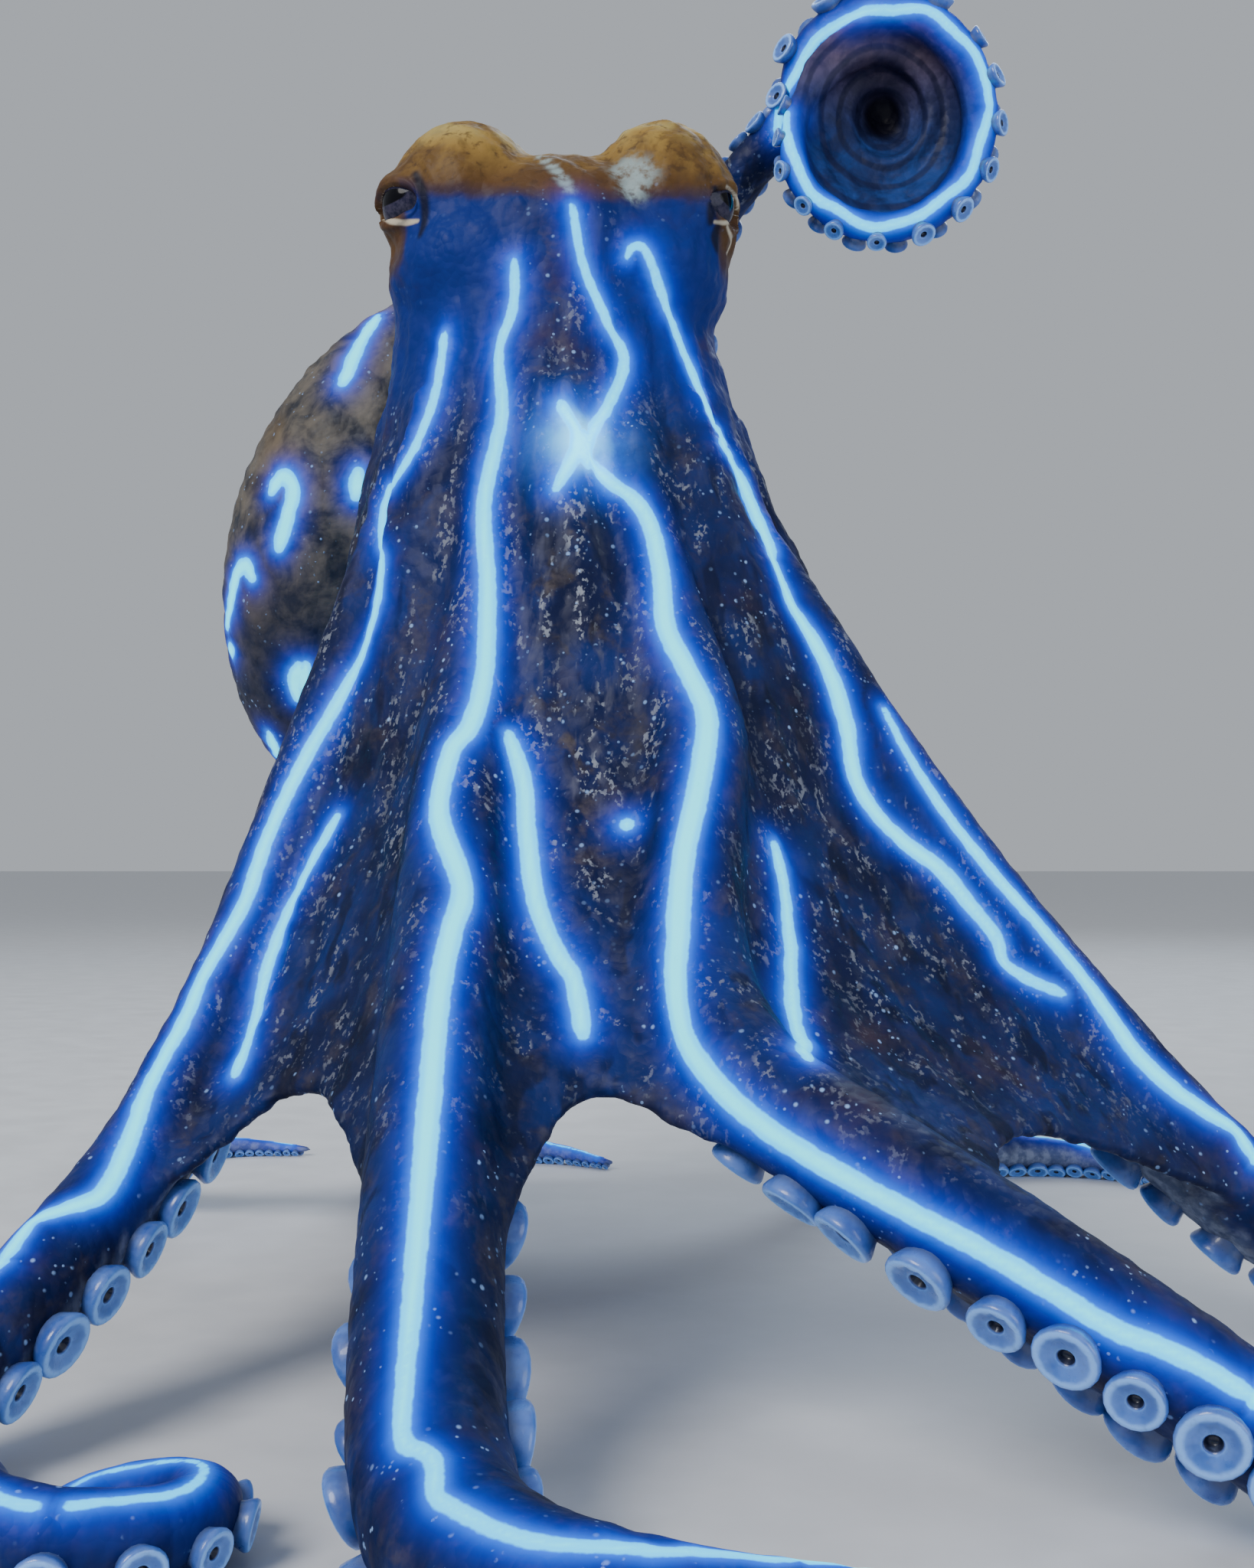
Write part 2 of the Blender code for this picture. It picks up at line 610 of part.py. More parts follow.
def neck_loft(bm):
    """The neck widening to the crown, with a low ridge running down to each arm."""
    count = 48
    loops = []
    for level, middle, width, depth in NECK:
        height = min(1.0, max(0.0, (62.0 - level) / (62.0 - CROWN_Z)))
        loop = []
        for k in range(count):
            angle = math.tau * k / count
            lobe = RIDGE * height * math.cos(8 * (angle - math.radians(22.5)))
            x = middle + (width + lobe) * math.sin(angle)
            y = -(depth + lobe) * math.cos(angle)
            loop.append(bm.verts.new((x, y, level)))
        loops.append(loop)
    for upper, lower in zip(loops, loops[1:]):
        for k in range(count):
            following = (k + 1) % count
            bm.faces.new((upper[k], lower[k], lower[following], upper[following]))
    bm.faces.new(loops[0])
    bm.faces.new(loops[-1][::-1])


def box(name, low, high, cutters):
    bm = bmesh.new()
    bmesh.ops.create_cube(bm, size=1.0)
    size = Vector(high) - Vector(low)
    middle = (Vector(high) + Vector(low)) / 2
    matrix = Matrix.Translation(middle) @ Matrix.Diagonal((*size, 1.0))
    bmesh.ops.transform(bm, matrix=matrix, verts=bm.verts)
    return helper(name, bm, cutters)


def ball(name, centre, radii, cutters, turn=0.0):
    bm = bmesh.new()
    bmesh.ops.create_uvsphere(bm, u_segments=14, v_segments=9, radius=1.0)
    matrix = Matrix.Translation(Vector(centre)) @ Matrix.Rotation(turn, 4, "Z")
    matrix = matrix @ Matrix.Diagonal((*radii, 1.0))
    bmesh.ops.transform(bm, matrix=matrix, verts=bm.verts)
    return helper(name, bm, cutters)


HEAD_VOXEL = 0.55
HEAD_FACES = 0.045  # share of the fine surface's faces that stay


def add_head(nodes, cutters):
    bm = bmesh.new()
    for centre, radii in HEAD_MASSES:
        ellipsoid(bm, centre, radii)
    neck_loft(bm)
    mesh = bpy.data.meshes.new("head")
    bm.to_mesh(mesh)
    bm.free()
    obj = make_object("head", mesh, nodes)
    blend = obj.modifiers.new("blend", "REMESH")
    blend.mode = "VOXEL"
    blend.voxel_size = HEAD_VOXEL
    soften = obj.modifiers.new("soften", "SMOOTH")
    soften.factor = 0.5
    soften.iterations = 14
    apply_modifiers(obj)
    lighten = obj.modifiers.new("lighten", "DECIMATE")
    lighten.ratio = HEAD_FACES
    apply_modifiers(obj)
    below = box("below_crown", (-20, -20, CROWN_Z - 10), (20, 20, CROWN_Z), cutters)
    boolean(obj, below, "DIFFERENCE")
    mouth = add_mouth(cutters)
    boolean(obj, mouth, "UNION")
    for side in (-1, 1):
        centre = Vector((side * EYE_PLACE[0], EYE_PLACE[1], EYE_PLACE[2]))
        lid = EYE_RADIUS + GAP + LID_THICKNESS
        socket = EYE_RADIUS + GAP
        facing = Vector((side * math.sin(GAZE), -math.cos(GAZE), 0.0))
        turn = -side * (math.pi / 2 - GAZE)
        boolean(obj, ball("lids", centre, (lid,) * 3, cutters), "UNION")
        boolean(obj, ball("socket", centre, (socket,) * 3, cutters), "DIFFERENCE")
        slit = ball("slit", centre + facing * lid, (lid, *SLIT), cutters, turn)
        boolean(obj, slit, "DIFFERENCE")
    keep_largest(obj)
    finish(obj, "head", (0, 0, CROWN_Z))
    return obj


MOUTH_PROFILE = (
    # distance from the axis, height against the crown's level
    (0.0, 1.5), (3.6, 1.5), (3.6, -0.6), (2.9, -1.5), (1.7, -1.9), (1.0, -1.3), (0.0, -0.4),
)


def add_mouth(cutters):
    """The round lips in the middle of the crown's underside."""
    bm = bmesh.new()
    verts = [bm.verts.new((x, 0.0, z)) for x, z in MOUTH_PROFILE]
    edges = [bm.edges.new(pair) for pair in zip(verts, verts[1:])]
    bmesh.ops.spin(
        bm, geom=verts + edges, cent=(0, 0, 0), axis=(0, 0, 1), angle=math.tau,
        steps=16, use_merge=True,
    )
    bmesh.ops.remove_doubles(bm, verts=bm.verts, dist=0.001)
    bmesh.ops.recalc_face_normals(bm, faces=bm.faces)
    bmesh.ops.translate(bm, verts=bm.verts, vec=(CROWN_X, 0, CROWN_Z))
    return helper("mouth", bm, cutters)


def add_eyes(nodes):
    for name, side in (("eye_right", -1), ("eye_left", 1)):
        bm = bmesh.new()
        bmesh.ops.create_uvsphere(bm, u_segments=14, v_segments=8, radius=EYE_RADIUS)
        place = (side * EYE_PLACE[0], EYE_PLACE[1], EYE_PLACE[2])
        bmesh.ops.translate(bm, verts=bm.verts, vec=place)
        mesh = bpy.data.meshes.new(name)
        bm.to_mesh(mesh)
        bm.free()
        finish(make_object(name, mesh, nodes), "eye", place)


def swollen(obj, by, cutters):
    """A copy of an object that stands off it by a given distance."""
    copy = make_object(obj.name + "_room", obj.data.copy(), cutters)
    copy.matrix_world = obj.matrix_world
    copy.hide_render = True
    copy.display_type = "WIRE"
    swell = copy.modifiers.new("swell", "DISPLACE")
    swell.strength = by
    swell.mid_level = 0.0
    apply_modifiers(copy)
    return copy


def mantle_frame():
    axis = Vector(MANTLE_AXIS).normalized()
    depth = Vector((0.42, -0.80, -0.43))
    depth = (depth - depth.dot(axis) * axis).normalized()
    width = axis.cross(depth)
    return Matrix((width, depth, axis)).transposed()


def add_mantle(head_room, nodes):
    bm = bmesh.new()
    bmesh.ops.create_uvsphere(bm, u_segments=22, v_segments=14, radius=1.0)
    for vertex in bm.verts:
        along = max(-1.0, min(1.0, vertex.co.z))
        round_radius = math.hypot(vertex.co.x, vertex.co.y)
        wanted = (1 - along * along) ** MANTLE_FULLNESS
        scale = wanted / round_radius if round_radius > 1e-6 else 0.0
        vertex.co.x *= scale * MANTLE_HALF_WIDTH
        vertex.co.y *= scale * MANTLE_HALF_DEPTH
        vertex.co.z *= MANTLE_HALF_LENGTH
    matrix = Matrix.Translation(Vector(MANTLE_CENTRE)) @ mantle_frame().to_4x4()
    bmesh.ops.transform(bm, matrix=matrix, verts=bm.verts)
    mesh = bpy.data.meshes.new("mantle")
    bm.to_mesh(mesh)
    bm.free()
    obj = make_object("mantle", mesh, nodes)
    boolean(obj, head_room, "DIFFERENCE")
    keep_largest(obj)
    finish(obj, "mantle", MANTLE_CENTRE)
    return obj


# Siphon: centre and radius along it, from under the mantle to its open end
SIPHON = (
    (1.2, 7.5, 55.0, 2.9), (1.6, 10.5, 53.6, 2.7), (2.2, 13.2, 50.8, 2.2),
    (2.6, 14.8, 47.6, 1.8), (2.8, 15.6, 44.8, 1.6),
)


def add_siphon(rooms, nodes):
    rows = smooth_path(SIPHON, 1.6)
    tangents = unit(np.gradient(rows[:, :3], axis=0))
    bm = bmesh.new()
    loops = []
    count = 12
    for row, tangent in zip(rows, tangents):
        side = unit(np.cross(tangent, (1.0, 0.0, 0.0)))
        other = np.cross(tangent, side)
        loop = []
        for k in range(count):
            angle = math.tau * k / count
            loop.append(row[:3] + row[3] * (math.cos(angle) * side + math.sin(angle) * other))
        loops.append([bm.verts.new(point) for point in loop])
    for low, high in zip(loops, loops[1:]):
        for k in range(count):
            following = (k + 1) % count
            bm.faces.new((low[k], low[following], high[following], high[k]))
    bm.faces.new(loops[0][::-1])
    mouth = bm.faces.new(loops[-1])
    bmesh.ops.inset_individual(bm, faces=[mouth], thickness=0.55)
    well = bmesh.ops.extrude_discrete_faces(bm, faces=[mouth])["faces"][0]
    bmesh.ops.translate(bm, verts=well.verts, vec=Vector(tangents[-1]) * -2.6)
    bmesh.ops.recalc_face_normals(bm, faces=bm.faces)
    mesh = bpy.data.meshes.new("siphon")
    bm.to_mesh(mesh)
    bm.free()
    obj = make_object("siphon", mesh, nodes)
    for room in rooms:
        boolean(obj, room, "DIFFERENCE")
    keep_largest(obj)
    finish(obj, "skin", SIPHON[0][:3])
    return obj


finished = []


def finish(obj, kind, origin):
    """Gives a shape its material and smooth shading; its own origin goes where it is rooted."""
    finished.append((obj, Vector(origin)))
    obj.data.materials.clear()
    obj.data.materials.append(make_material(obj.name, kind))
    obj.data.shade_smooth()
    obj.data.set_sharp_from_angle(angle=math.radians(50))


def place_in_metres(parent):
    """Scales every finished mesh to metres round its own origin and sets it in place."""
    shift = Vector((ORIGIN[0], ORIGIN[1], 0.0))
    for obj, origin in finished:
        obj.data.transform(Matrix.Translation(-origin))
        obj.data.transform(Matrix.Scale(METRES, 4))
        obj.location = (origin - shift) * METRES
        obj.parent = parent


def main():
    clear_scene()
    nodes = make_collection("blue_lined_octopus")
    cutters = make_collection("cutters", hidden=True)
    parent = make_object("octopus", None, nodes)
    arms = {name: Arm(spec) for name, spec in ARMS.items()}
    head = add_head(nodes, cutters)
    head_room = swollen(head, GAP, cutters)
    mantle = add_mantle(head_room, nodes)
    mantle_room = swollen(mantle, GAP, cutters)
    add_siphon((head_room, mantle_room), nodes)
    add_eyes(nodes)
    for first, second, first_run, second_run in WEBS:
        add_web(first, second, first_run, second_run, arms, nodes)
    for name, spec in ARMS.items():
        add_arm(name, arms[name], spec, nodes)
    for obj in list(cutters.objects):
        bpy.data.objects.remove(obj)
    bpy.data.collections.remove(cutters)
    place_in_metres(parent)


main()
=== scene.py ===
"""Looks of the octopus: one skin over the whole body, its suckers, eyes and glowing lines.

Shapes are made in millimetres in the frame of part.py and scaled to metres at the end. X runs
to the animal's left, Y to its back and Z up.
"""

import math
import random

import bmesh
import bpy
import numpy as np
from mathutils import Matrix, Vector
from mathutils.bvhtree import BVHTree
from mathutils.kdtree import KDTree


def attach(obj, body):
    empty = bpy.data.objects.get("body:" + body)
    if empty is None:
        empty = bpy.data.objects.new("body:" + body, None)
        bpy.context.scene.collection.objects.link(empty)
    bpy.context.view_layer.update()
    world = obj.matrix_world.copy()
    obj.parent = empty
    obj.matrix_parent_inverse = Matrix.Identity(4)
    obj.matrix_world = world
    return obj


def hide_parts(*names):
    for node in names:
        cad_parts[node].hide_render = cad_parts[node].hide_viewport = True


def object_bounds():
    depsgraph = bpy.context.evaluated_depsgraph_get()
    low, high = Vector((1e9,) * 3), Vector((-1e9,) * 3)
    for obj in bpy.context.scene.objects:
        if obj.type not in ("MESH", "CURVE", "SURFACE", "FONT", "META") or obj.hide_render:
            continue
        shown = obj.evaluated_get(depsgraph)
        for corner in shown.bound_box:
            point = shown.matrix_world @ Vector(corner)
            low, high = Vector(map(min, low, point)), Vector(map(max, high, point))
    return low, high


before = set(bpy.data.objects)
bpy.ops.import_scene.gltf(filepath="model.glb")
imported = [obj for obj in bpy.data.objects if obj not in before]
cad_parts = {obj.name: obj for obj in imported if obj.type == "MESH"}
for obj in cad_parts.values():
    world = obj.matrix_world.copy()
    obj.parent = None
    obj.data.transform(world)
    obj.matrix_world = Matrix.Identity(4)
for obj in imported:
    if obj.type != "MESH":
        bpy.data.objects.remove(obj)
cad_low, cad_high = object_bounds()

METRES = 0.001
ORIGIN = np.array([18.9, -0.1, 0.0])
VOXEL = 0.27

# The body's plan, as in part.py
CROWN_Z = 47.0
CROWN_X = 0.55
ROOT_RING = (10.2, 9.6)
ARM_AZIMUTHS = {"1": 22.5, "2": 67.5, "3": 112.5, "4": 157.5}
ROOT_RADIUS = 2.55
TIP_RADIUS = 0.35
ORAL_FLAT = 0.86
FLOOR_BLEND = 0.8
ROW_ANGLE = math.radians(42)
SUCKER_BASE = 0.1
SUCKER_SHARE = 0.46
SUCKER_HEIGHT = 0.65
FLOOR_PRESS = 0.2
EYE_PLACE = (8.3, -3.2, 66.6)
LID_RADIUS = 2.75
EYE_SHOWN = 2.3  # the eyeball fills its lids
CORNEA_HEIGHT = 0.05  # this and the next two are in eyeball radii
CORNEA_REACH = 0.12
PUPIL = (0.55, 0.2)
GAZES = {-1: math.radians(46), 1: math.radians(68)}  # from straight ahead, right and left eye
SLIT = (1.9, 1.05)
SLIT_DROP = 0.45
LID_DEPTH = 0.45  # how far behind the eyeball's surface the opening goes
LID_RIM = 0.14
MANTLE_CENTRE = np.array([-12.4, 19.5, 50.4])
MANTLE_AXIS = (-0.35, 0.13, -0.93)
MANTLE_HALVES = np.array([12.2, 9.6, 19.4])
MANTLE_FULLNESS = 0.62
COIL_CENTRE = np.array([20.5, 2.0, 74.5])
COIL_TALL = 1.14
COIL_AXIS = np.array([0.15, 1.0, 0.43])
FLOOR_COIL = (-15.8, -38.7)
FLOOR_RING = 3.7

CAMERA = np.array([4.2, -106.0, 27.0])
PICTURE_HIGH = 2048
FOCAL = 2253.0  # in pixels of a picture of that height
SENSOR = 36.0
READING_MIDDLE = (800, 1000)  # of the picture as its places were read, 1600 by 2000
TILT = math.atan(102 / FOCAL)

UP = (0.0, 0.0, 1.0)
OUT = None  # for a back that faces away from the crown's middle and up


def unit(vectors):
    vectors = np.asarray(vectors, float)
    return vectors / np.linalg.norm(vectors, axis=-1, keepdims=True)


def smoothstep(x, low, high):
    t = np.clip((np.asarray(x, float) - low) / (high - low), 0, 1)
    return t * t * (3 - 2 * t)


def side_of(arm):
    """1 for a left arm and -1 for a right one, and its azimuth from straight ahead."""
    return (1 if arm[0] == "l" else -1), math.radians(ARM_AZIMUTHS[arm[1]])


def root_of(arm):
    side, azimuth = side_of(arm)
    x = CROWN_X + side * ROOT_RING[0] * math.sin(azimuth)
    return (x, -ROOT_RING[1] * math.cos(azimuth), CROWN_Z)


def outward(point):
    away = np.array([point[0] - CROWN_X, point[1], 0.0])
    return unit(away) + np.array(UP)


def floor_coil(turns, start_radius, end_radius, start_angle):
    """Centre line and back of an arm's end that lies coiled on the floor."""
    rows = []
    count = round(turns * 10)
    for k in range(count + 1):
        turn = k / count * turns
        angle = math.radians(start_angle) + turn * math.tau
        enter = max(0.0, 1.0 - turn / 0.3)
        leave = max(0.0, (turn - 0.75) / (turns - 0.75))
        radius = FLOOR_RING + (start_radius - FLOOR_RING) * enter**1.6
        radius += (end_radius - FLOOR_RING) * leave
        away = np.array([math.cos(angle), math.sin(angle), 0.0])
        place = np.array([*FLOOR_COIL, 0.0]) + radius * away
        rows.append((*place, *(np.array(UP) - 0.7 * away)))
    return rows


def raised_coil(turns, ring_radii, inner_radius, end_radius, start_depth):
    """Centre line and back of the raised arm's end: a ring, with a tighter turn behind it."""
    rows = []
    count = round(turns * 11)
    for k in range(count + 1):
        turn = turns * k / count
        angle = turn * math.tau
        arrive = max(0.0, 1.0 - turn / 0.42)
        inward = min(1.0, max(0.0, (turn - 0.9) / 0.25))
        tighten = max(0.0, (turn - 1.15) / (turns - 1.15))
        depth = start_depth * arrive * arrive * (3 - 2 * arrive) + 1.9 * inward + 2.4 * tighten
        radius = ring_radii[0] + (ring_radii[1] - ring_radii[0]) * min(1.0, turn)
        radius += (inner_radius - ring_radii[1]) * inward * inward * (3 - 2 * inward)
        radius += (end_radius - inner_radius) * tighten
        away = np.array([-math.cos(angle), 0.0, math.sin(angle)])
        place = COIL_CENTRE + depth * COIL_AXIS + radius * away * (1.0, 1.0, COIL_TALL)
        tilt = math.radians(12 + 50 * inward)
        back = -math.cos(tilt) * away - math.sin(tilt) * np.array([0.0, 1.0, 0.0])
        rows.append((*place, *back))
    return rows


def way_of(arm):
    """An arm's centre line and back from the crown to its tip."""
    rows = []
    for *place, back in [(*root_of(arm), OUT), *ARMS[arm]]:
        rows.append((*place, *(outward(place) if back is OUT else unit(back))))
    return rows + COILS.get(arm, [])


UP_LEFT = (-0.5, 0.0, 0.87)
TO_HEAD = (-0.5, -0.87, 0.0)
TO_FRONT = (0.2, -1.0, 0.1)

# Places of each arm's centre line below the crown, and which way its back faces
ARMS = {
    "r1": [
        (-3.6, -10.8, 40.5, OUT), (-4.2, -14.0, 33.5, OUT), (-4.5, -18.5, 26.5, OUT),
        (-4.4, -24.0, 19.5, OUT), (-4.2, -30.0, 13.0, OUT), (-3.8, -36.0, 7.6, OUT),
        (-3.0, -41.6, 4.6, (0, -0.4, 0.9)), (-1.2, -46.4, 2.0, (-0.2, -0.2, 1)),
        (2.4, -50.0, 0.0, (-0.2, 0.0, 1)), (8.0, -51.5, 0.0, (0, 0.3, 0.9)),
        (15.0, -51.7, 0.0, (0, 0.3, 0.9)), (24.0, -51.4, 0.0, UP), (34.0, -51.8, 0.0, UP),
        (46.0, -54.4, 0.0, UP),
    ],
    "l1": [
        (6.0, -11.2, 40.5, OUT), (7.8, -14.5, 34.0, OUT), (7.6, -18.5, 27.5, OUT),
        (7.4, -22.5, 21.6, OUT), (9.8, -27.2, 17.0, OUT), (15.8, -32.0, 13.2, (0.2, -0.2, 1)),
        (22.6, -35.4, 8.9, (0.3, 0.3, 0.9)), (28.7, -36.9, 4.8, (0.1, 0.4, 0.9)),
        (35.5, -37.6, 0.0, (0, 0.5, 0.8)), (44.0, -37.2, 0.0, (0, 0.4, 0.9)),
        (53.0, -34.0, 0.0, UP), (61.0, -28.0, 0.0, UP), (67.0, -20.0, 0.0, UP),
        (70.0, -12.0, 0.0, UP),
    ],
    "l2": [
        (14.1, -5.2, 40.3, OUT), (17.5, -6.6, 34.0, OUT), (22.8, -8.2, 26.0, OUT),
        (28.7, -9.5, 18.3, (0.5, 0.1, 0.8)), (34.3, -10.8, 11.8, (0.3, 0.5, 0.8)),
        (39.8, -11.6, 7.2, (0.2, 0.5, 0.8)), (46.5, -11.8, 4.0, (0, 0.4, 0.9)),
        (54.5, -11.0, 0.0, UP), (63.0, -8.0, 0.0, UP), (71.0, -3.0, 0.0, UP), (77.5, 4.5, 0.0, UP),
    ],
    "l3": [
        (12.4, 6.6, 40.5, OUT), (15.2, 10.4, 35.6, OUT), (16.8, 14.8, 34.2, (0.0, 0.2, 1)),
        (16.0, 18.6, 37.6, (-0.6, -0.6, 0.4)), (12.8, 18.8, 44.5, TO_HEAD),
        (10.0, 17.0, 53.0, TO_HEAD), (8.4, 14.6, 61.0, TO_HEAD), (8.6, 12.2, 67.0, TO_FRONT),
        (10.6, 9.4, 71.6, TO_FRONT),
    ],
    "l4": [
        (6.0, 12.0, 39.5, OUT), (9.0, 17.5, 29.5, OUT), (13.5, 24.0, 19.0, OUT),
        (19.0, 31.0, 9.5, OUT), (25.0, 37.6, 3.6, OUT), (32.0, 42.6, 0.0, UP),
        (39.5, 44.4, 0.0, UP), (46.0, 42.0, 0.0, UP), (49.5, 36.0, 0.0, UP), (48.0, 30.0, 0.0, UP),
    ],
    "r2": [
        (-10.9, -5.0, 40.6, OUT), (-13.8, -7.2, 31.0, OUT), (-17.0, -10.8, 20.6, OUT),
        (-19.6, -15.6, 13.6, OUT), (-21.2, -19.0, 10.2, UP_LEFT), (-23.8, -25.0, 6.4, UP_LEFT),
        (-25.7, -28.8, 3.8, UP_LEFT), (-26.5, -32.6, 0.0, UP_LEFT), (-25.0, -36.4, 0.0, UP),
    ],
    "r3": [
        (-12.0, 7.0, 40.0, OUT), (-15.6, 11.0, 31.0, OUT), (-19.6, 16.0, 22.0, OUT),
        (-24.4, 21.4, 13.5, OUT), (-30.0, 27.0, 6.8, OUT), (-35.4, 33.6, 0.0, UP),
        (-38.4, 41.0, 0.0, UP), (-37.6, 48.6, 0.0, UP), (-32.0, 53.6, 0.0, UP),
        (-25.0, 54.0, 0.0, UP),
    ],
    "r4": [
        (-4.6, 11.6, 40.0, OUT), (-6.2, 16.0, 30.5, OUT), (-8.6, 23.0, 19.5, OUT),
        (-11.6, 31.0, 9.8, OUT), (-14.2, 38.4, 3.4, OUT), (-14.4, 45.0, 0.0, UP),
        (-9.4, 49.8, 0.0, UP), (-2.6, 50.2, 0.0, UP), (3.0, 46.6, 0.0, UP),
    ],
}
TAPERS = {
    "r1": (3.2, 0.42), "l1": (3.2, 0.22), "l2": (3.2, 0.36), "l3": (1.15, 0.0),
    "l4": (3.0, 0.15), "r2": (5.5, 0.1), "r3": (3.0, 0.15), "r4": (3.0, 0.15),
}
COILS = {
    "l3": raised_coil(
        turns=2.55, ring_radii=(6.1, 6.5), inner_radius=3.9, end_radius=1.4, start_depth=4.6
    ),
    "r2": floor_coil(turns=1.3, start_radius=6.1, end_radius=1.2, start_angle=184),
}

WEBS = (
    ("r1", "l1", 48.0, 46.0), ("l1", "l2", 56.0, 52.0), ("l2", "l3", 32.0, 14.5),
    ("l3", "l4", 12.5, 33.0), ("l4", "r4", 46.0, 46.0), ("r4", "r3", 46.0, 46.0),
    ("r3", "r2", 44.0, 44.0), ("r2", "r1", 46.0, 46.0),
)
WEB_THICKNESS = 0.9
WEB_CUT_UP = 0.2
WEB_SAG = 0.07
WEB_OUTSIDE = 0.45
WEB_BULGE = 2.4  # how far the sheet's top stands out to meet the neck
BULGE_REACH = 20.0
WEB_TOP = 7.0  # how far the sheet runs up inside the neck
WEB_JOIN = 0.45  # from an arm's centre line to the sheet's edge, in arm radii
WEB_GRID = (40, 12)

HEAD_MASSES = (
    ((0.2, 0.0, 64.0), (8.8, 8.2, 6.4)),
    ((-5.7, -1.2, 66.6), (4.9, 5.6, 5.8)),
    ((6.3, -1.2, 66.6), (4.8, 5.6, 5.8)),
    ((-4.9, -1.0, 62.6), (5.6, 6.8, 4.6)),
    ((4.9, -1.0, 62.6), (5.6, 6.8, 4.6)),
    ((-3.6, 6.0, 61.0), (6.6, 6.4, 6.2)),
)
NECK = np.array([
    (62.5, -0.5, 9.6, 8.2), (60.7, -0.45, 9.7, 8.3), (57.0, -0.1, 10.3, 8.9),
    (53.0, 0.15, 11.1, 9.8), (50.0, 0.4, 11.6, 10.6), (47.0, 0.55, 11.6, 10.9),
    (45.6, 0.6, 10.4, 9.7),
])
SIPHON = (
    (1.2, 7.5, 55.0, 2.9), (1.6, 10.5, 53.6, 2.7), (2.2, 13.2, 50.8, 2.2),
    (2.6, 14.8, 47.6, 1.8), (2.8, 15.6, 44.8, 1.6),
)
SIPHON_MOUTH = ((0.8, -0.05), (0.62, 0.25), (0.58, 1.2), (0.5, 2.4))  # share of its end, depth
LIPS = ((3.6, 1.5), (3.6, -0.6), (2.9, -1.5), (1.7, -1.9), (1.0, -1.3), (0.3, -0.4))  # radius, height


# Paths


def smooth_path(rows, step):
    p = np.array(rows, float)
    p = np.vstack([2 * p[0] - p[1], p, 2 * p[-1] - p[-2]])
    t = np.linspace(0, 1, 12, endpoint=False)[:, None]
    fine = []
    for a, b, c, d in zip(p, p[1:], p[2:], p[3:]):
        square, cube = t * t, t * t * t
        fine.append(
            0.5 * (2 * b + (c - a) * t + (2 * a - 5 * b + 4 * c - d) * square
                   + (3 * b - a - 3 * c + d) * cube)
        )
    fine = np.concatenate([*fine, p[-2][None]])
    steps = np.linalg.norm(np.diff(fine[:, :3], axis=0), axis=1)
    run = np.concatenate([[0.0], np.cumsum(steps)])
    stations = np.linspace(0, run[-1], max(3, round(run[-1] / step) + 1))
    return np.column_stack([np.interp(stations, run, column) for column in fine.T])


def arm_radius(share, taper):
    """Full at the crown, swelling midway and falling to the tip."""
    power, swell = taper
    full = (1 - share**power) * (1 + swell * 16 * (share * (1 - share)) ** 2)
    return TIP_RADIUS + (ROOT_RADIUS - TIP_RADIUS) * full


def sucker_radius(radius):
    return SUCKER_BASE + SUCKER_SHARE * radius


def rest_height(radius):
    sucker = sucker_radius(radius)
    reach = ORAL_FLAT * radius + SUCKER_HEIGHT * sucker
    return reach * math.cos(ROW_ANGLE) + sucker * math.sin(ROW_ANGLE) - FLOOR_PRESS


LEAD_TOP = 60.0
CROWN_HALVES = (12.6, 11.9)  # of the ring that the arms' outer sides make at the crown


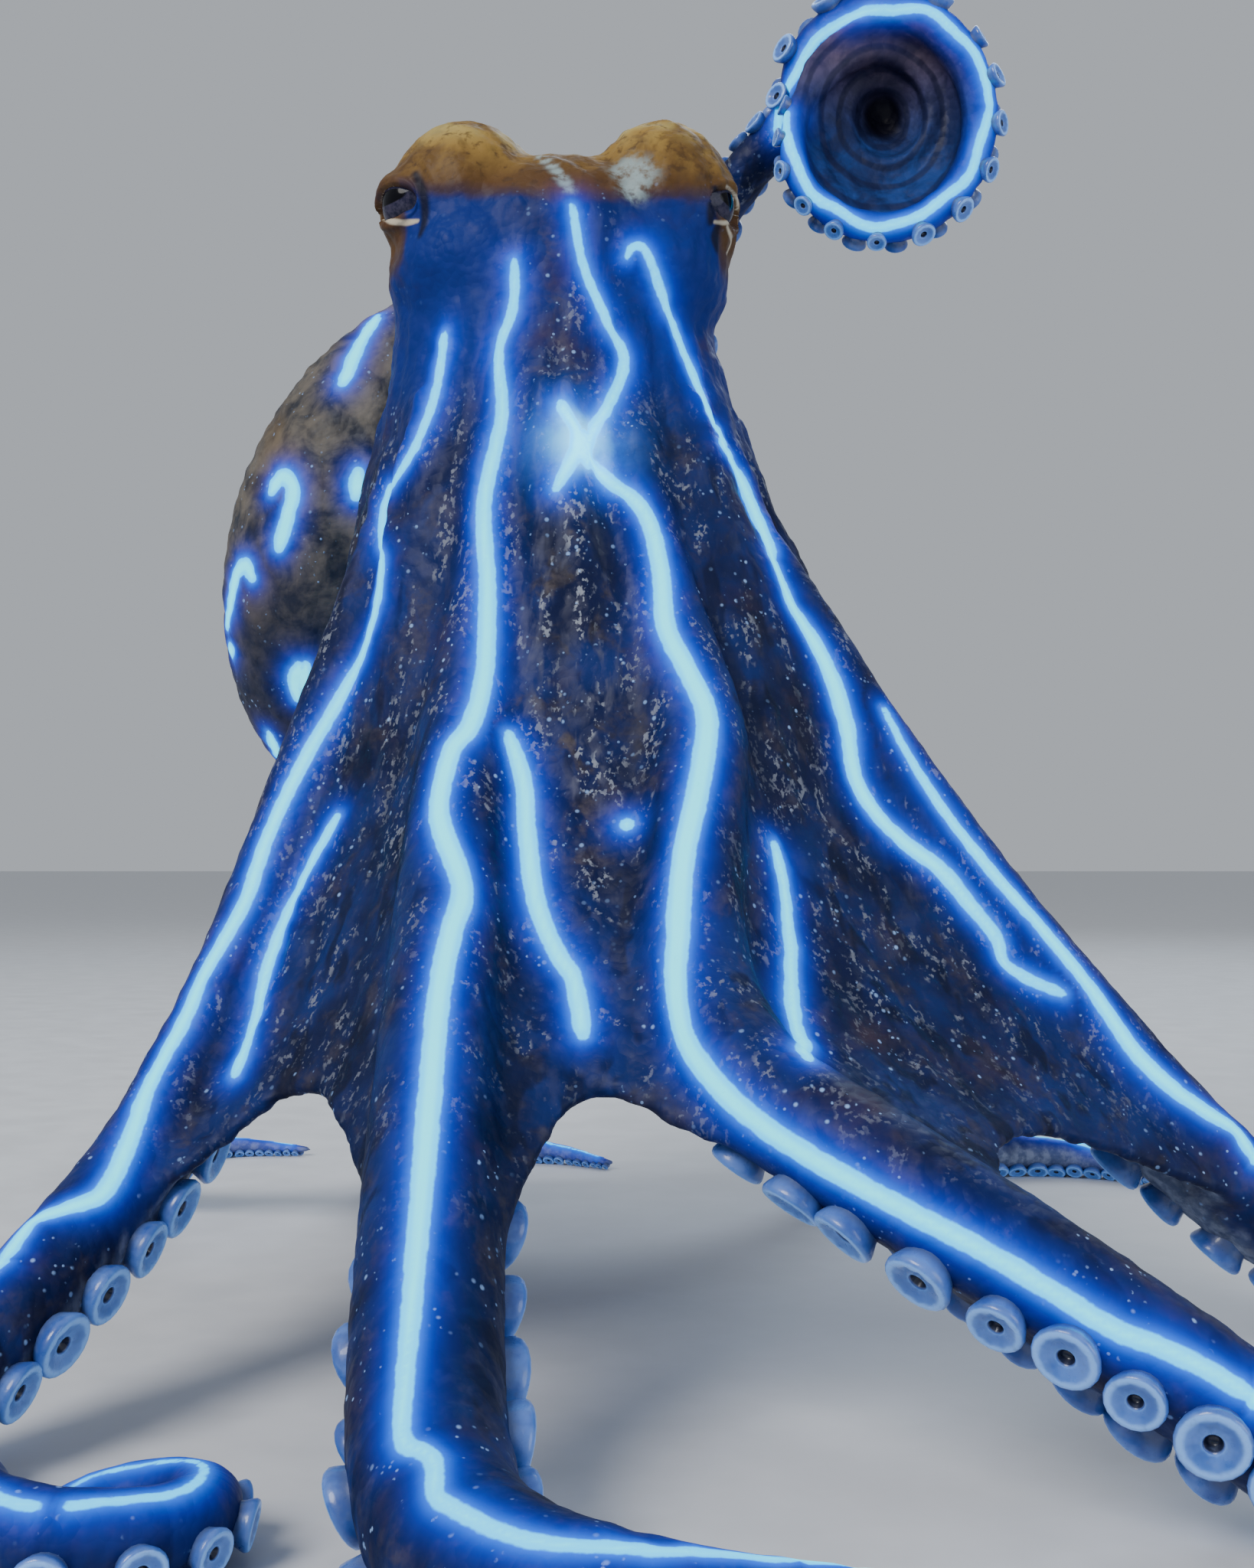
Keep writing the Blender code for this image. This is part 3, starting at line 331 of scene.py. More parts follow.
class Arm:
    """An arm's centre line; distances below zero run up inside the neck."""

    def __init__(self, name):
        rows = smooth_path(way_of(name), 0.5)
        share = np.linspace(0, 1, len(rows))
        radii = arm_radius(share, TAPERS[name])
        rest = rest_height(radii)
        lift = rows[:, 2] - rest
        rows[:, 2] = rest + 0.5 * (lift + np.sqrt(lift * lift + FLOOR_BLEND**2))
        rows[0, 2] = CROWN_Z
        levels = np.arange(LEAD_TOP, CROWN_Z, -0.5)
        side, azimuth = side_of(name)
        table = NECK[::-1]
        middle, width, depth = (np.interp(levels, table[:, 0], table[:, k]) for k in (1, 2, 3))
        blend = smoothstep(levels, CROWN_Z, CROWN_Z + 5)
        width = width * blend + CROWN_HALVES[0] * (1 - blend)
        depth = depth * blend + CROWN_HALVES[1] * (1 - blend)
        stand = 0.3 * (1 - smoothstep(levels, 50, LEAD_TOP)) - 0.15 * blend
        lead = np.column_stack([
            middle + side * (width + stand - ROOT_RADIUS) * math.sin(azimuth),
            -(depth + stand - ROOT_RADIUS) * math.cos(azimuth),
            levels,
        ])
        away = np.array([side * math.sin(azimuth), -math.cos(azimuth), 0.6])
        self.name = name
        self.points = np.vstack([lead, rows[:, :3]])
        for _ in range(6):
            inner = self.points[len(lead) - 6:len(lead) + 6]
            inner[1:-1] = 0.25 * inner[:-2] + 0.5 * inner[1:-1] + 0.25 * inner[2:]
        steps = np.linalg.norm(np.diff(self.points, axis=0), axis=1)
        self.run = np.concatenate([[0.0], np.cumsum(steps)])
        self.run -= self.run[len(lead)]
        self.length = self.run[-1]
        self.radii = np.concatenate([np.full(len(lead), ROOT_RADIUS), radii])
        self.tangents = unit(np.gradient(self.points, axis=0))
        backs = np.vstack([np.tile(away, (len(lead), 1)), rows[:, 3:6]])
        along = np.sum(backs * self.tangents, axis=1, keepdims=True)
        self.backs = unit(backs - along * self.tangents)

    def at(self, distance):
        """Centre, tangent, back, side and radius at one or more distances."""
        read = lambda table: np.stack(
            [np.interp(distance, self.run, column) for column in table.T], axis=-1
        )
        tangent = unit(read(self.tangents))
        back = read(self.backs)
        back = unit(back - np.sum(back * tangent, axis=-1, keepdims=True) * tangent)
        radius = np.interp(distance, self.run, self.radii)
        return read(self.points), tangent, back, np.cross(tangent, back), radius

    def surface(self, distance, angle):
        """Points on the arm's skin at an angle from the middle of its back."""
        centre, _, back, side, radius = self.at(distance)
        high = np.cos(angle)
        high = np.where(high > 0, high, ORAL_FLAT * high)
        return centre + radius[..., None] * (
            high[..., None] * back + np.sin(angle)[..., None] * side
        )


arms = {name: Arm(name) for name in ARMS}


# Rough shapes


def tube_faces(count, sides):
    """Faces between rings of points, one ring after another."""
    faces = []
    for i in range(count - 1):
        for k in range(sides):
            n = (k + 1) % sides
            faces.append((i * sides + k, i * sides + n, (i + 1) * sides + n, (i + 1) * sides + k))
    return faces


def round_angles(count):
    return np.arange(count) * math.tau / count


class Soup:
    """Closed surfaces gathered into one mesh."""

    def __init__(self):
        self.verts = []
        self.faces = []
        self.count = 0

    def add(self, verts, faces):
        self.verts.append(np.asarray(verts, float))
        self.faces.extend([tuple(i + self.count for i in face) for face in faces])
        self.count += len(verts)

    def loft(self, rings, tip=None, flat=False):
        """A tube through rings of equal size, closed at both ends; a flat one is a sheet."""
        rings = np.asarray(rings)
        count, sides = rings.shape[:2]
        verts = list(rings.reshape(-1, 3))
        faces = tube_faces(count, sides)
        last = (count - 1) * sides
        if flat:
            for k in range(sides // 2 - 1):
                across = sides - 1 - k
                faces.append((k + 1, k, across, across - 1))
                faces.append((last + k, last + k + 1, last + across - 1, last + across))
            self.add(verts, faces)
            return
        verts.append(np.mean(rings[0], axis=0))
        verts.append(np.mean(rings[-1], axis=0) if tip is None else tip)
        for k in range(sides):
            n = (k + 1) % sides
            faces.append((n, k, len(verts) - 2))
            faces.append((last + k, last + n, len(verts) - 1))
        self.add(verts, faces)

    def ball(self, centre, radii, turn=None, shape=None, segments=40, rings=24):
        bm = bmesh.new()
        bmesh.ops.create_uvsphere(bm, u_segments=segments, v_segments=rings, radius=1.0)
        verts = np.array([v.co for v in bm.verts])
        faces = [tuple(v.index for v in face.verts) for face in bm.faces]
        bm.free()
        if shape is not None:
            verts = shape(verts)
        verts = verts * np.array(radii)
        if turn is not None:
            verts = verts @ np.array(turn).T
        self.add(verts + np.array(centre), faces)


def eye_centre(side):
    return np.array([side * EYE_PLACE[0], EYE_PLACE[1], EYE_PLACE[2]])


def egg(verts):
    """A sphere made fuller toward its ends."""
    along = np.clip(verts[:, 2], -1, 1)
    wide = np.hypot(verts[:, 0], verts[:, 1])
    scale = np.where(wide > 1e-6, (1 - along**2) ** MANTLE_FULLNESS / np.maximum(wide, 1e-6), 0)
    return np.column_stack([verts[:, 0] * scale, verts[:, 1] * scale, along])


def mantle_frame():
    axis = unit(MANTLE_AXIS)
    depth = np.array([0.42, -0.80, -0.43])
    depth = unit(depth - depth.dot(axis) * axis)
    return np.column_stack([np.cross(axis, depth), depth, axis])


def add_arm_tube(soup, arm):
    distances = np.arange(arm.run[0], arm.length, 0.6)
    angles = round_angles(20)
    rings = [arm.surface(np.full(20, d), angles) for d in distances]
    centre, tangent, *_ = arm.at(arm.length)
    soup.loft(rings, tip=centre + tangent * 0.3)


def web_side(toward, back):
    rise = np.dot(toward, back)
    return unit(toward - rise * back + (max(0.0, rise) + WEB_OUTSIDE) * back)


def web_edge(arm, other, run, other_run):
    """Where a sheet meets an arm, as it runs over to another one."""
    centre, tangent, back, _, radius = arm.at(run)
    toward = other.at(other_run)[0] - centre
    toward = unit(toward - np.dot(toward, tangent) * tangent)
    return centre, centre + WEB_JOIN * radius * web_side(toward, back), back


def add_web(soup, first, second, first_run, second_run):
    rows, columns = WEB_GRID
    grid = np.zeros((rows + 1, columns + 1, 3))
    for row in range(rows + 1):
        for column in range(columns + 1):
            across = column / columns
            bow = math.sin(math.pi * across)
            down = row / rows * (1 - WEB_CUT_UP * bow)
            run_a = -WEB_TOP + down * (first_run + WEB_TOP)
            run_b = -WEB_TOP + down * (second_run + WEB_TOP)
            a, edge_a, back_a = web_edge(arms[first], arms[second], run_a, run_b)
            b, edge_b, back_b = web_edge(arms[second], arms[first], run_b, run_a)
            below = min(run_a, run_b)
            bulge = WEB_BULGE * (1 - smoothstep(below, 0.0, BULGE_REACH))
            sag = WEB_SAG * np.linalg.norm(b - a) * max(0.0, down)
            out = unit(back_a + back_b)
            grid[row, column] = edge_a + (edge_b - edge_a) * across + (bulge - sag) * bow**0.8 * out
    du = np.gradient(grid, axis=0)
    dv = np.gradient(grid, axis=1)
    normals = unit(np.cross(du, dv))
    half = WEB_THICKNESS / 2
    outer, inner = grid + half * normals, grid - half * normals
    soup.loft([np.vstack([o, i[::-1]]) for o, i in zip(outer, inner)], flat=True)


def build_soup():
    soup = Soup()
    for arm in arms.values():
        add_arm_tube(soup, arm)
    for web in WEBS:
        add_web(soup, *web)
    for centre, radii in HEAD_MASSES:
        soup.ball(centre, radii)
    angles = round_angles(64)
    rings = [
        np.column_stack([
            m + w * np.sin(angles), -d * np.cos(angles), np.full(64, level)
        ])
        for level, m, w, d in smooth_path(NECK, 0.6)
    ]
    soup.loft(rings)
    soup.ball(MANTLE_CENTRE, MANTLE_HALVES, turn=mantle_frame(), shape=egg, segments=64, rings=48)
    siphon = smooth_path(SIPHON, 0.8)
    tangents = unit(np.gradient(siphon[:, :3], axis=0))
    turn = round_angles(20)
    rings = []
    for row, tangent in zip(siphon, tangents):
        side = unit(np.cross(tangent, (1.0, 0.0, 0.0)))
        other = np.cross(tangent, side)
        around = np.cos(turn)[:, None] * side + np.sin(turn)[:, None] * other
        rings.append(row[:3] + row[3] * around)
    end, middle = rings[-1], siphon[-1][:3]
    for share, back in SIPHON_MOUTH:
        rings.append(middle + share * (end - middle) - back * tangents[-1])
    soup.loft(rings)
    for side in (-1, 1):
        soup.ball(eye_centre(side), (LID_RADIUS,) * 3)
    rings = [
        np.column_stack([
            CROWN_X + r * np.cos(angles), r * np.sin(angles), np.full(64, CROWN_Z - 0.8 + z)
        ])
        for r, z in LIPS
    ]
    soup.loft(rings)
    add_funnel(soup)
    return soup


FUNNEL = (
    # depth behind the ring, radius
    (0.5, 5.9), (1.1, 5.0), (2.0, 4.3), (2.5, 3.6), (3.0, 2.7), (3.6, 1.9), (4.4, 1.2), (5.0, 0.5),
)


def add_funnel(soup):
    """The coiled arm's own flank, which closes the inside of the ring like a shell."""
    angles = round_angles(48)
    around = np.column_stack([np.cos(angles), np.zeros(48), COIL_TALL * np.sin(angles)])
    front = [COIL_CENTRE + depth * COIL_AXIS + radius * around for depth, radius in FUNNEL]
    behind = [ring + np.array([0.0, 0.9, 0.0]) for ring in front]
    soup.loft(front[::-1] + behind)


BOX = [(np.array(corner) / METRES + ORIGIN) for corner in (cad_low, cad_high)]
BOX_ROOM = 0.03


def inside_box(places):
    """Keeps a shape on the floor and within the solids' own box."""
    return np.clip(places, BOX[0] + BOX_ROOM, BOX[1] - BOX_ROOM)


def mesh_from(name, verts, faces):
    mesh = bpy.data.meshes.new(name)
    mesh.from_pydata([tuple(v) for v in verts], [], faces)
    mesh.update()
    return mesh


def fresh(mesh):
    obj = bpy.data.objects.new(mesh.name, mesh)
    bpy.context.scene.collection.objects.link(obj)
    return obj


def apply_modifiers(obj):
    bpy.context.view_layer.update()
    graph = bpy.context.evaluated_depsgraph_get()
    mesh = bpy.data.meshes.new_from_object(obj.evaluated_get(graph))
    obj.modifiers.clear()
    obj.data = mesh


def read(items, key, width, kind=np.float32):
    flat = np.zeros(len(items) * width, kind)
    items.foreach_get(key, flat)
    return flat.reshape(-1, width)


def coordinates(mesh):
    return read(mesh.vertices, "co", 3).astype(float)


def set_coordinates(mesh, places):
    mesh.vertices.foreach_set("co", np.asarray(places, np.float32).ravel())
    mesh.update()


def normals_of(mesh):
    return read(mesh.vertex_normals, "vector", 3).astype(float)


def set_value(mesh, name, values):
    attribute = mesh.attributes.get(name) or mesh.attributes.new(name, "FLOAT", "POINT")
    attribute.data.foreach_set("value", np.asarray(values, np.float32))


def nearest(points, places):
    """The index of the nearest point to each place, and how far off it is."""
    tree = KDTree(len(points))
    for k, point in enumerate(points):
        tree.insert(Vector(point), k)
    tree.balance()
    found = np.array([tree.find(Vector(p))[1:] for p in places])
    return found[:, 0].astype(int), found[:, 1]


def relax(places, edges, weight, rounds):
    """Laplacian smoothing with a weight for each vertex, without numpy's slow scatter."""
    count = len(places)
    a, b = edges[:, 0], edges[:, 1]
    valence = np.bincount(a, minlength=count) + np.bincount(b, minlength=count)
    for _ in range(rounds):
        mean = np.empty_like(places)
        for k in range(3):
            total = np.bincount(a, weights=places[b, k], minlength=count)
            total += np.bincount(b, weights=places[a, k], minlength=count)
            mean[:, k] = total / np.maximum(valence, 1)
        places = places + weight[:, None] * (mean - places)
    return places


def waves(places, size, seed, count=14):
    """Smooth noise from -1 to 1 with features of about one size, in mm."""
    draw = np.random.default_rng(seed)
    directions = unit(draw.normal(size=(count, 3)))
    lengths = size * draw.uniform(0.7, 1.5, count)
    phases = draw.uniform(0, math.tau, count)
    total = np.zeros(len(places))
    for direction, length, phase in zip(directions, lengths, phases):
        total += np.sin(places @ direction * (math.tau / length) + phase)
    return total / math.sqrt(count / 2) / 2


# Skin


def nearest_arm(places):
    """Each place's nearest arm, the distance along it, and how far off in arm radii."""
    points, table = [], []
    for index, arm in enumerate(arms.values()):
        distances = np.arange(arm.run[0], arm.length, 0.5)
        centre, *_, radius = arm.at(distances)
        points.extend(centre)
        table.extend(zip([index] * len(distances), distances, radius))
    picked, away = nearest(points, places)
    table = np.array(table)[picked]
    return table[:, 0].astype(int), table[:, 1], away / table[:, 2]


RELAX_ROUNDS = 20
FOLD_DEPTH = 0.2
WRINKLE_DEPTHS = (0.075, 0.04)  # on the body and on the arms


def make_skin():
    soup = build_soup()
    obj = fresh(mesh_from("skin", np.concatenate(soup.verts), soup.faces))
    blend = obj.modifiers.new("blend", "REMESH")
    blend.mode = "VOXEL"
    blend.voxel_size = VOXEL
    apply_modifiers(obj)
    return obj


def shape_skin(obj):
    mesh = obj.data
    places = coordinates(mesh)
    edges = read(mesh.edges, "vertices", 2, np.int32)
    arm_index, along, off = nearest_arm(places)
    lengths = np.array([arm.length for arm in arms.values()])[arm_index]
    tip = np.where(off < 1.8, smoothstep(lengths - along, 2, 30), 1.0)
    coil = np.linalg.norm(places - COIL_CENTRE, axis=1) < 11
    weight = np.where(coil, 0.2, 0.12 + 0.4 * tip)
    places = relax(places, edges, weight, RELAX_ROUNDS)
    set_coordinates(mesh, places)
    normal = normals_of(mesh)

    # long folds down the skirt, and fine wrinkles everywhere
    x, y, z = places.T
    azimuth = np.arctan2(x - CROWN_X, -y)
    axis_distance = np.hypot(x - CROWN_X, y)
    skirt = smoothstep(z, 8, 18) * (1 - smoothstep(z, 56, 64))
    skirt *= (1 - smoothstep(y, 9, 13) * smoothstep(z, 34, 40))
    skirt *= 1 - smoothstep(axis_distance, 24, 34)
    wander = 0.35 * waves(np.column_stack([x, y, z * 0.6]), 16.0, 3)
    fold = np.sin(27 * azimuth + 7 * wander) * 0.6 + np.sin(43 * azimuth + 11 * wander + 1.3) * 0.4
    fold *= 0.55 + 0.45 * waves(np.column_stack([x, y, 0.5 * z]), 9.0, 5)
    wrinkle = waves(places, 1.7, 11, 18) + 0.6 * waves(places, 0.9, 12, 18)
    body = (off > 1.5) | (along < 4)
    strength = np.where(body, *WRINKLE_DEPTHS) * np.clip(tip, 0.15, 1)
    places = places + normal * (FOLD_DEPTH * skirt * fold + strength * wrinkle)[:, None]
    set_coordinates(mesh, inside_box(places))
    return fold * skirt, off


def eye_frame(side):
    """Where an eye looks and the direction along its slit."""
    gaze = GAZES[side]
    facing = np.array([side * math.sin(gaze), -math.cos(gaze), 0.0])
    return facing, np.array([side * math.cos(gaze), math.sin(gaze), 0.0])


def refine_round_eyes(obj, values):
    """Cuts the faces round each eye finer, so that the lids' edges come out clean.

    The values are stored on the mesh first, so that the new points get theirs too.
    """
    mesh = obj.data
    for key, value in values.items():
        set_value(mesh, key, value)
    bm = bmesh.new()
    bm.from_mesh(mesh)
    for radius in (3.4, 2.6):
        near = []
        for side in (-1, 1):
            spot = Vector(eye_centre(side) + eye_frame(side)[0] * LID_RADIUS)
            near += [e for e in bm.edges if (e.verts[0].co - spot).length < radius]
        bmesh.ops.subdivide_edges(bm, edges=near, cuts=1, use_grid_fill=True)
    bmesh.ops.triangulate(bm, faces=[f for f in bm.faces if len(f.verts) > 4])
    bm.to_mesh(mesh)
    bm.free()
    mesh.update()


def open_lids(obj):
    """Presses the opening between the lids inward, down to behind the eyeball's surface."""
    mesh = obj.data
    places = coordinates(mesh)
    for side in (-1, 1):
        eye = eye_centre(side)
        facing, across = eye_frame(side)
        rel = places - eye
        u = rel @ across
        w = rel[:, 2] + SLIT_DROP
        f = rel @ facing
        near = (f > 0) & (np.linalg.norm(rel, axis=1) < LID_RADIUS + 1.6)
        corner = 1.08 * SLIT[0]
        height = SLIT[1] * np.sqrt(np.clip(1 - (u / corner) ** 2, 0, 1)) + 1e-6
        level = np.where(w > 0, w / (1.05 * height), -w / (0.85 * height))
        inside = np.where(np.abs(u) < corner, level, 9.0)
        press = near * (1 - smoothstep(inside, 0.86, 1.06))
        rim = near * np.exp(-((inside - 1.35) / 0.28) ** 2) * (np.abs(u) < SLIT[0] * 1.2)
        radius = np.linalg.norm(rel, axis=1)
        wanted = radius * (1 - press) + (EYE_SHOWN - LID_DEPTH) * press + LID_RIM * rim
        factor = wanted / np.maximum(radius, 1e-6)
        places = np.where(near[:, None], eye + rel * factor[:, None], places)
    set_coordinates(mesh, places)


# Markings

# Lines seen from the front, in the picture's 1600 by 2000 reading, with core widths in mm that
# are spread evenly along each
FRONT_LINES = (
    ("r2", (0.55, 0.7, 0.9, 1.0, 1.0), (
        (567, 425), (556, 500), (530, 570), (492, 640), (484, 750), (464, 830), (440, 880),
        (385, 975), (340, 1070), (312, 1150), (262, 1240), (235, 1300), (190, 1385), (161, 1465),
        (131, 1521), (88, 1540), (44, 1556), (20, 1585), (5, 1606))),
    (None, (0.7, 0.85, 0.8), (
        (430, 1042), (400, 1095), (365, 1170), (340, 1240), (326, 1300), (300, 1370))),
    ("r1", (0.55, 0.8, 1.0, 1.15, 1.15, 1.1, 0.8, 0.65, 0.65), (
        (656, 332), (655, 390), (636, 450), (640, 530), (618, 640), (622, 750), (618, 860),
        (600, 925), (575, 960), (560, 1040), (590, 1130), (575, 1190), (560, 1270), (548, 1400),
        (535, 1550), (522, 1700), (513, 1800), (516, 1840), (540, 1851), (553, 1864),
        (554, 1884), (558, 1909), (584, 1927), (628, 1949), (684, 1966), (750, 1972),
        (820, 1976), (920, 1981), (1019, 1989), (1168, 1981), (1317, 1990))),
    (None, (0.95, 1.0, 0.9), (
        (650, 938), (668, 1000), (672, 1060), (684, 1150), (710, 1215), (732, 1250), (744, 1320))),
    ("l1", (0.5, 0.7, 1.0, 1.2, 1.25, 1.1, 0.9, 0.8), (
        (730, 262), (745, 340), (775, 410), (796, 460), (780, 510), (752, 560), (762, 600),
        (820, 650), (842, 720), (850, 800), (880, 860), (902, 915), (892, 1000), (872, 1090),
        (865, 1180), (862, 1260), (876, 1330), (930, 1400), (1010, 1462), (1130, 1530),
        (1280, 1610), (1417, 1693), (1481, 1718), (1541, 1747), (1598, 1781))),
    (None, (0.8, 0.9, 0.9), ((988, 1078), (1000, 1130), (1008, 1200), (1012, 1290), (1030, 1350))),
    ("l2", (0.5, 0.8, 1.0, 1.1, 1.0, 0.6), (
        (800, 327), (806, 316), (820, 316), (834, 345), (872, 450), (920, 560), (962, 650),
        (1005, 760), (1055, 850), (1078, 920), (1095, 1000), (1140, 1062), (1200, 1110),
        (1239, 1156), (1270, 1195), (1282, 1229), (1313, 1249), (1356, 1268))),
    ("l2", (0.5, 0.8, 0.9, 1.0, 1.0), (
        (1128, 905), (1160, 965), (1205, 1035), (1260, 1105), (1330, 1185), (1395, 1265),
        (1451, 1345), (1500, 1390), (1536, 1416), (1575, 1440), (1598, 1474))),
    (None, (0.75, 0.95, 1.1, 0.9, 0.75), (
        (714, 514), (726, 532), (737, 552), (735, 576), (721, 600), (710, 623))),
    (None, (0.9, 0.9), ((746, 552), (744, 575), (750, 592))),
)
DOTS = ((800, 1052, 0.8), (294, 830, 1.3))
FLARE = (740, 560)

# Pale rims of the lids, painted shade in the grooves beside them and pale patches on the crown, by
# width or reach
RIMS = (
    ((0.30, 0.34, 0.26), ((486, 268), (492, 279), (512, 284), (533, 282))),
    ((0.12, 0.12), ((486, 262), (492, 246), (502, 238))),
    ((0.14, 0.22, 0.2), ((927, 238), (941, 255), (937, 275), (928, 284), (912, 283))),
    ((0.16, 0.2, 0.12), ((928, 289), (933, 306), (927, 324))),
)
GROOVE_SHADES = (
    ((0.2, 0.35, 0.3, 0.15), ((530, 222), (537, 238), (542, 262), (541, 284), (536, 300))),
    ((0.25, 0.35), ((912, 240), (908, 262), (907, 282))),
    ((0.4, 0.5, 0.3), ((914, 292), (912, 304), (915, 318))),
)
PALE_PLACES = (
    (800, 216, 1.2), (816, 222, 1.3), (808, 240, 1.1), (690, 199, 0.5), (697, 205, 0.5),
    (704, 212, 0.5), (711, 219, 0.5), (716, 226, 0.5), (721, 233, 0.5), (727, 241, 0.5),
)
MANTLE_DASHES = (
    ((480, 405), (458, 440), (438, 488)), ((347, 626), (360, 608), (374, 622), (366, 660), (356, 698)),
    ((322, 736), (314, 722), (303, 730), (296, 760), (290, 798)), ((457, 603), (454, 632)),
    ((382, 850), (376, 872), (382, 898)), ((390, 850), (386, 875), (390, 905)),
    ((400, 848), (396, 872), (402, 905)),
    ((345, 938), (352, 960), (360, 985)),
)


def ray_through(u, v):
    """Direction from the camera through a place in the picture."""
    focal = FOCAL * 2 * READING_MIDDLE[1] / PICTURE_HIGH
    across, high = (u - READING_MIDDLE[0]) / focal, (READING_MIDDLE[1] - v) / focal
    return unit([
        across, math.cos(TILT) - math.sin(TILT) * high, math.sin(TILT) + math.cos(TILT) * high
    ])


CAST_STEP = 4.0  # in pixels of the picture
LINE_STEP = 0.1
LINE_JUMP = 6.0  # a hit this far from the last is on something behind it
LINE_SHARE = 0.42  # a line's core on an arm's back, in arm radii
LINE_HALVES = (0.16, 0.5)
FLOOR_LINE_GAP = (4.4, 5.4)  # from where the floor coil's ring starts
COIL_LINE = 6.4  # radius of the line round the raised coil
COIL_LINE_WIDTH = 0.68
DASH_WIDTHS = (1.2, 0.9)  # on the mantle's front and back


class Marks:
    """Every marking line as points on the skin, each with half its core's width."""

    def __init__(self, tree):
        self.tree = tree
        self.points = []
        self.halves = []

    def add(self, points, widths):
        points = np.asarray(points, float)
        share = np.linspace(0, 1, len(points))
        ends = np.minimum(share, 1 - share) * len(points) * LINE_STEP
        half = 0.5 * np.interp(share, np.linspace(0, 1, len(widths)), widths)
        half = half * (0.7 + 0.3 * np.clip(ends / 0.5, 0, 1))
        for point, width in zip(points, half):
            self.put(point, width)

    def put(self, point, half):
        self.points.append(np.array(self.tree.find_nearest(Vector(point))[0]))
        self.halves.append(half)

    def cast(self, places, behind=-99.0):
        """Points on the skin behind places of the picture, where they lie far enough back."""
        hits = []
        for u, v, _ in smooth_path([(u, v, 0.0) for u, v in places], CAST_STEP):
            hit = self.tree.ray_cast(Vector(CAMERA), Vector(ray_through(u, v)))[0]
            if hit is not None and hit.y > behind:
                hits.append(np.array(hit))
        return hits

    def spot(self, u, v):
        """The skin behind one place of the picture."""
        hits = self.cast(((u, v), (u + 2, v)))
        return hits[0] if hits else None

    def on_front(self, widths, places):
        hits = self.cast(places)
        kept = hits[:1]
        for hit in hits[1:]:
            if np.linalg.norm(hit - kept[-1]) < LINE_JUMP:
                kept.append(hit)
        line = smooth_path(kept, LINE_STEP)
        self.add(line, widths)
        return line[-1]


def mark_arm(marks, name, start, draw):
    """The line down an arm's back, from the top or from where its pictured line ends."""
    arm = arms[name]
    stations = np.arange(-6.0, arm.length - 1.5, 0.25)
    start_angle = 0.0
    if start is not None:
        near = np.argmin(np.linalg.norm(arm.at(stations)[0] - start, axis=1))
        stations = stations[near:]
        centre, _, back, side, _ = arm.at(stations[0])
        start_angle = math.atan2((start - centre) @ side, (start - centre) @ back)
    if name == "l3":
        stations = stations[arm.at(stations)[0][:, 2] < 50]
    if len(stations) < 4:
        return
    gone = stations - stations[0]
    wobble = 0.3 * np.sin(gone * 0.45 + draw.uniform(0, 6))
    wobble += 0.14 * np.sin(gone * 1.1 + draw.uniform(0, 6))
    fade = np.exp(-gone / 5.0)
    angle = start_angle * fade + wobble * (1 - fade)
    centre, *_, radius = arm.at(stations)
    ring = math.tau * FLOOR_RING
    ring_start, ring_end = arm.length - 1.12 * ring, arm.length - 0.22 * ring
    if name == "r2":
        on_ring = smoothstep(stations, ring_start - 8, ring_start)
        from_middle = unit(centre - np.array([*FLOOR_COIL, 2.0]))
        outside = 0.70 - 0.36 * from_middle[:, 1] + 0.06 * np.sin(stations * 1.3)
        angle = angle * (1 - on_ring) + outside * on_ring
    fine = smooth_path(arm.surface(stations, angle), LINE_STEP)
    share, rough = np.linspace(0, 1, len(fine)), np.linspace(0, 1, len(stations))
    halves = np.clip(LINE_SHARE * np.interp(share, rough, radius) / 2, *LINE_HALVES)
    for point, half, place in zip(fine, halves, np.interp(share, rough, stations)):
        coiled = name == "r2" and place > ring_start
        gap = FLOOR_LINE_GAP[0] <= place - ring_start <= FLOOR_LINE_GAP[1]
        if not (coiled and (gap or place >= ring_end)):
            marks.put(point, half * (0.6 if coiled else 1.0))


def mark_raised_coil(marks):
    angles = np.linspace(0, math.tau, 420)
    radius = COIL_LINE + 0.14 * np.sin(3 * angles + 1) + 0.1 * np.sin(7 * angles)
    radius += 0.08 * np.sin(11 * angles + 2)
    hits = []
    for a, r in zip(angles, radius):
        before = COIL_CENTRE + (r * math.cos(a), -20, COIL_TALL * r * math.sin(a))
        hit = marks.tree.ray_cast(Vector(before), Vector((0, 1, 0)), 40)[0]
        if hit is not None:
            hits.append(np.array(hit))
    marks.add(smooth_path(hits[::3] + hits[:1], LINE_STEP), [COIL_LINE_WIDTH])


def mark_mantle_back(marks, draw):
    """Dashes on the hidden sides of the mantle."""
    turn = mantle_frame()
    for _ in range(16):
        height = draw.uniform(-0.75, 0.8)
        around = draw.uniform(0, math.tau)
        slant = draw.uniform(-0.3, 0.3)
        reach = draw.uniform(0.06, 0.14)
        line = []
        for t in np.linspace(-1, 1, 9):
            h = height + reach * t
            a = around + slant * t
            r = (1 - h * h) ** MANTLE_FULLNESS
            line.append(MANTLE_CENTRE + turn @ (MANTLE_HALVES * (r * math.cos(a), r * math.sin(a), h)))
        x, y, _ = line[4]
        if y >= 21 or (y >= 12 and x >= -4):
            marks.add(smooth_path(line, LINE_STEP), DASH_WIDTHS[1:])


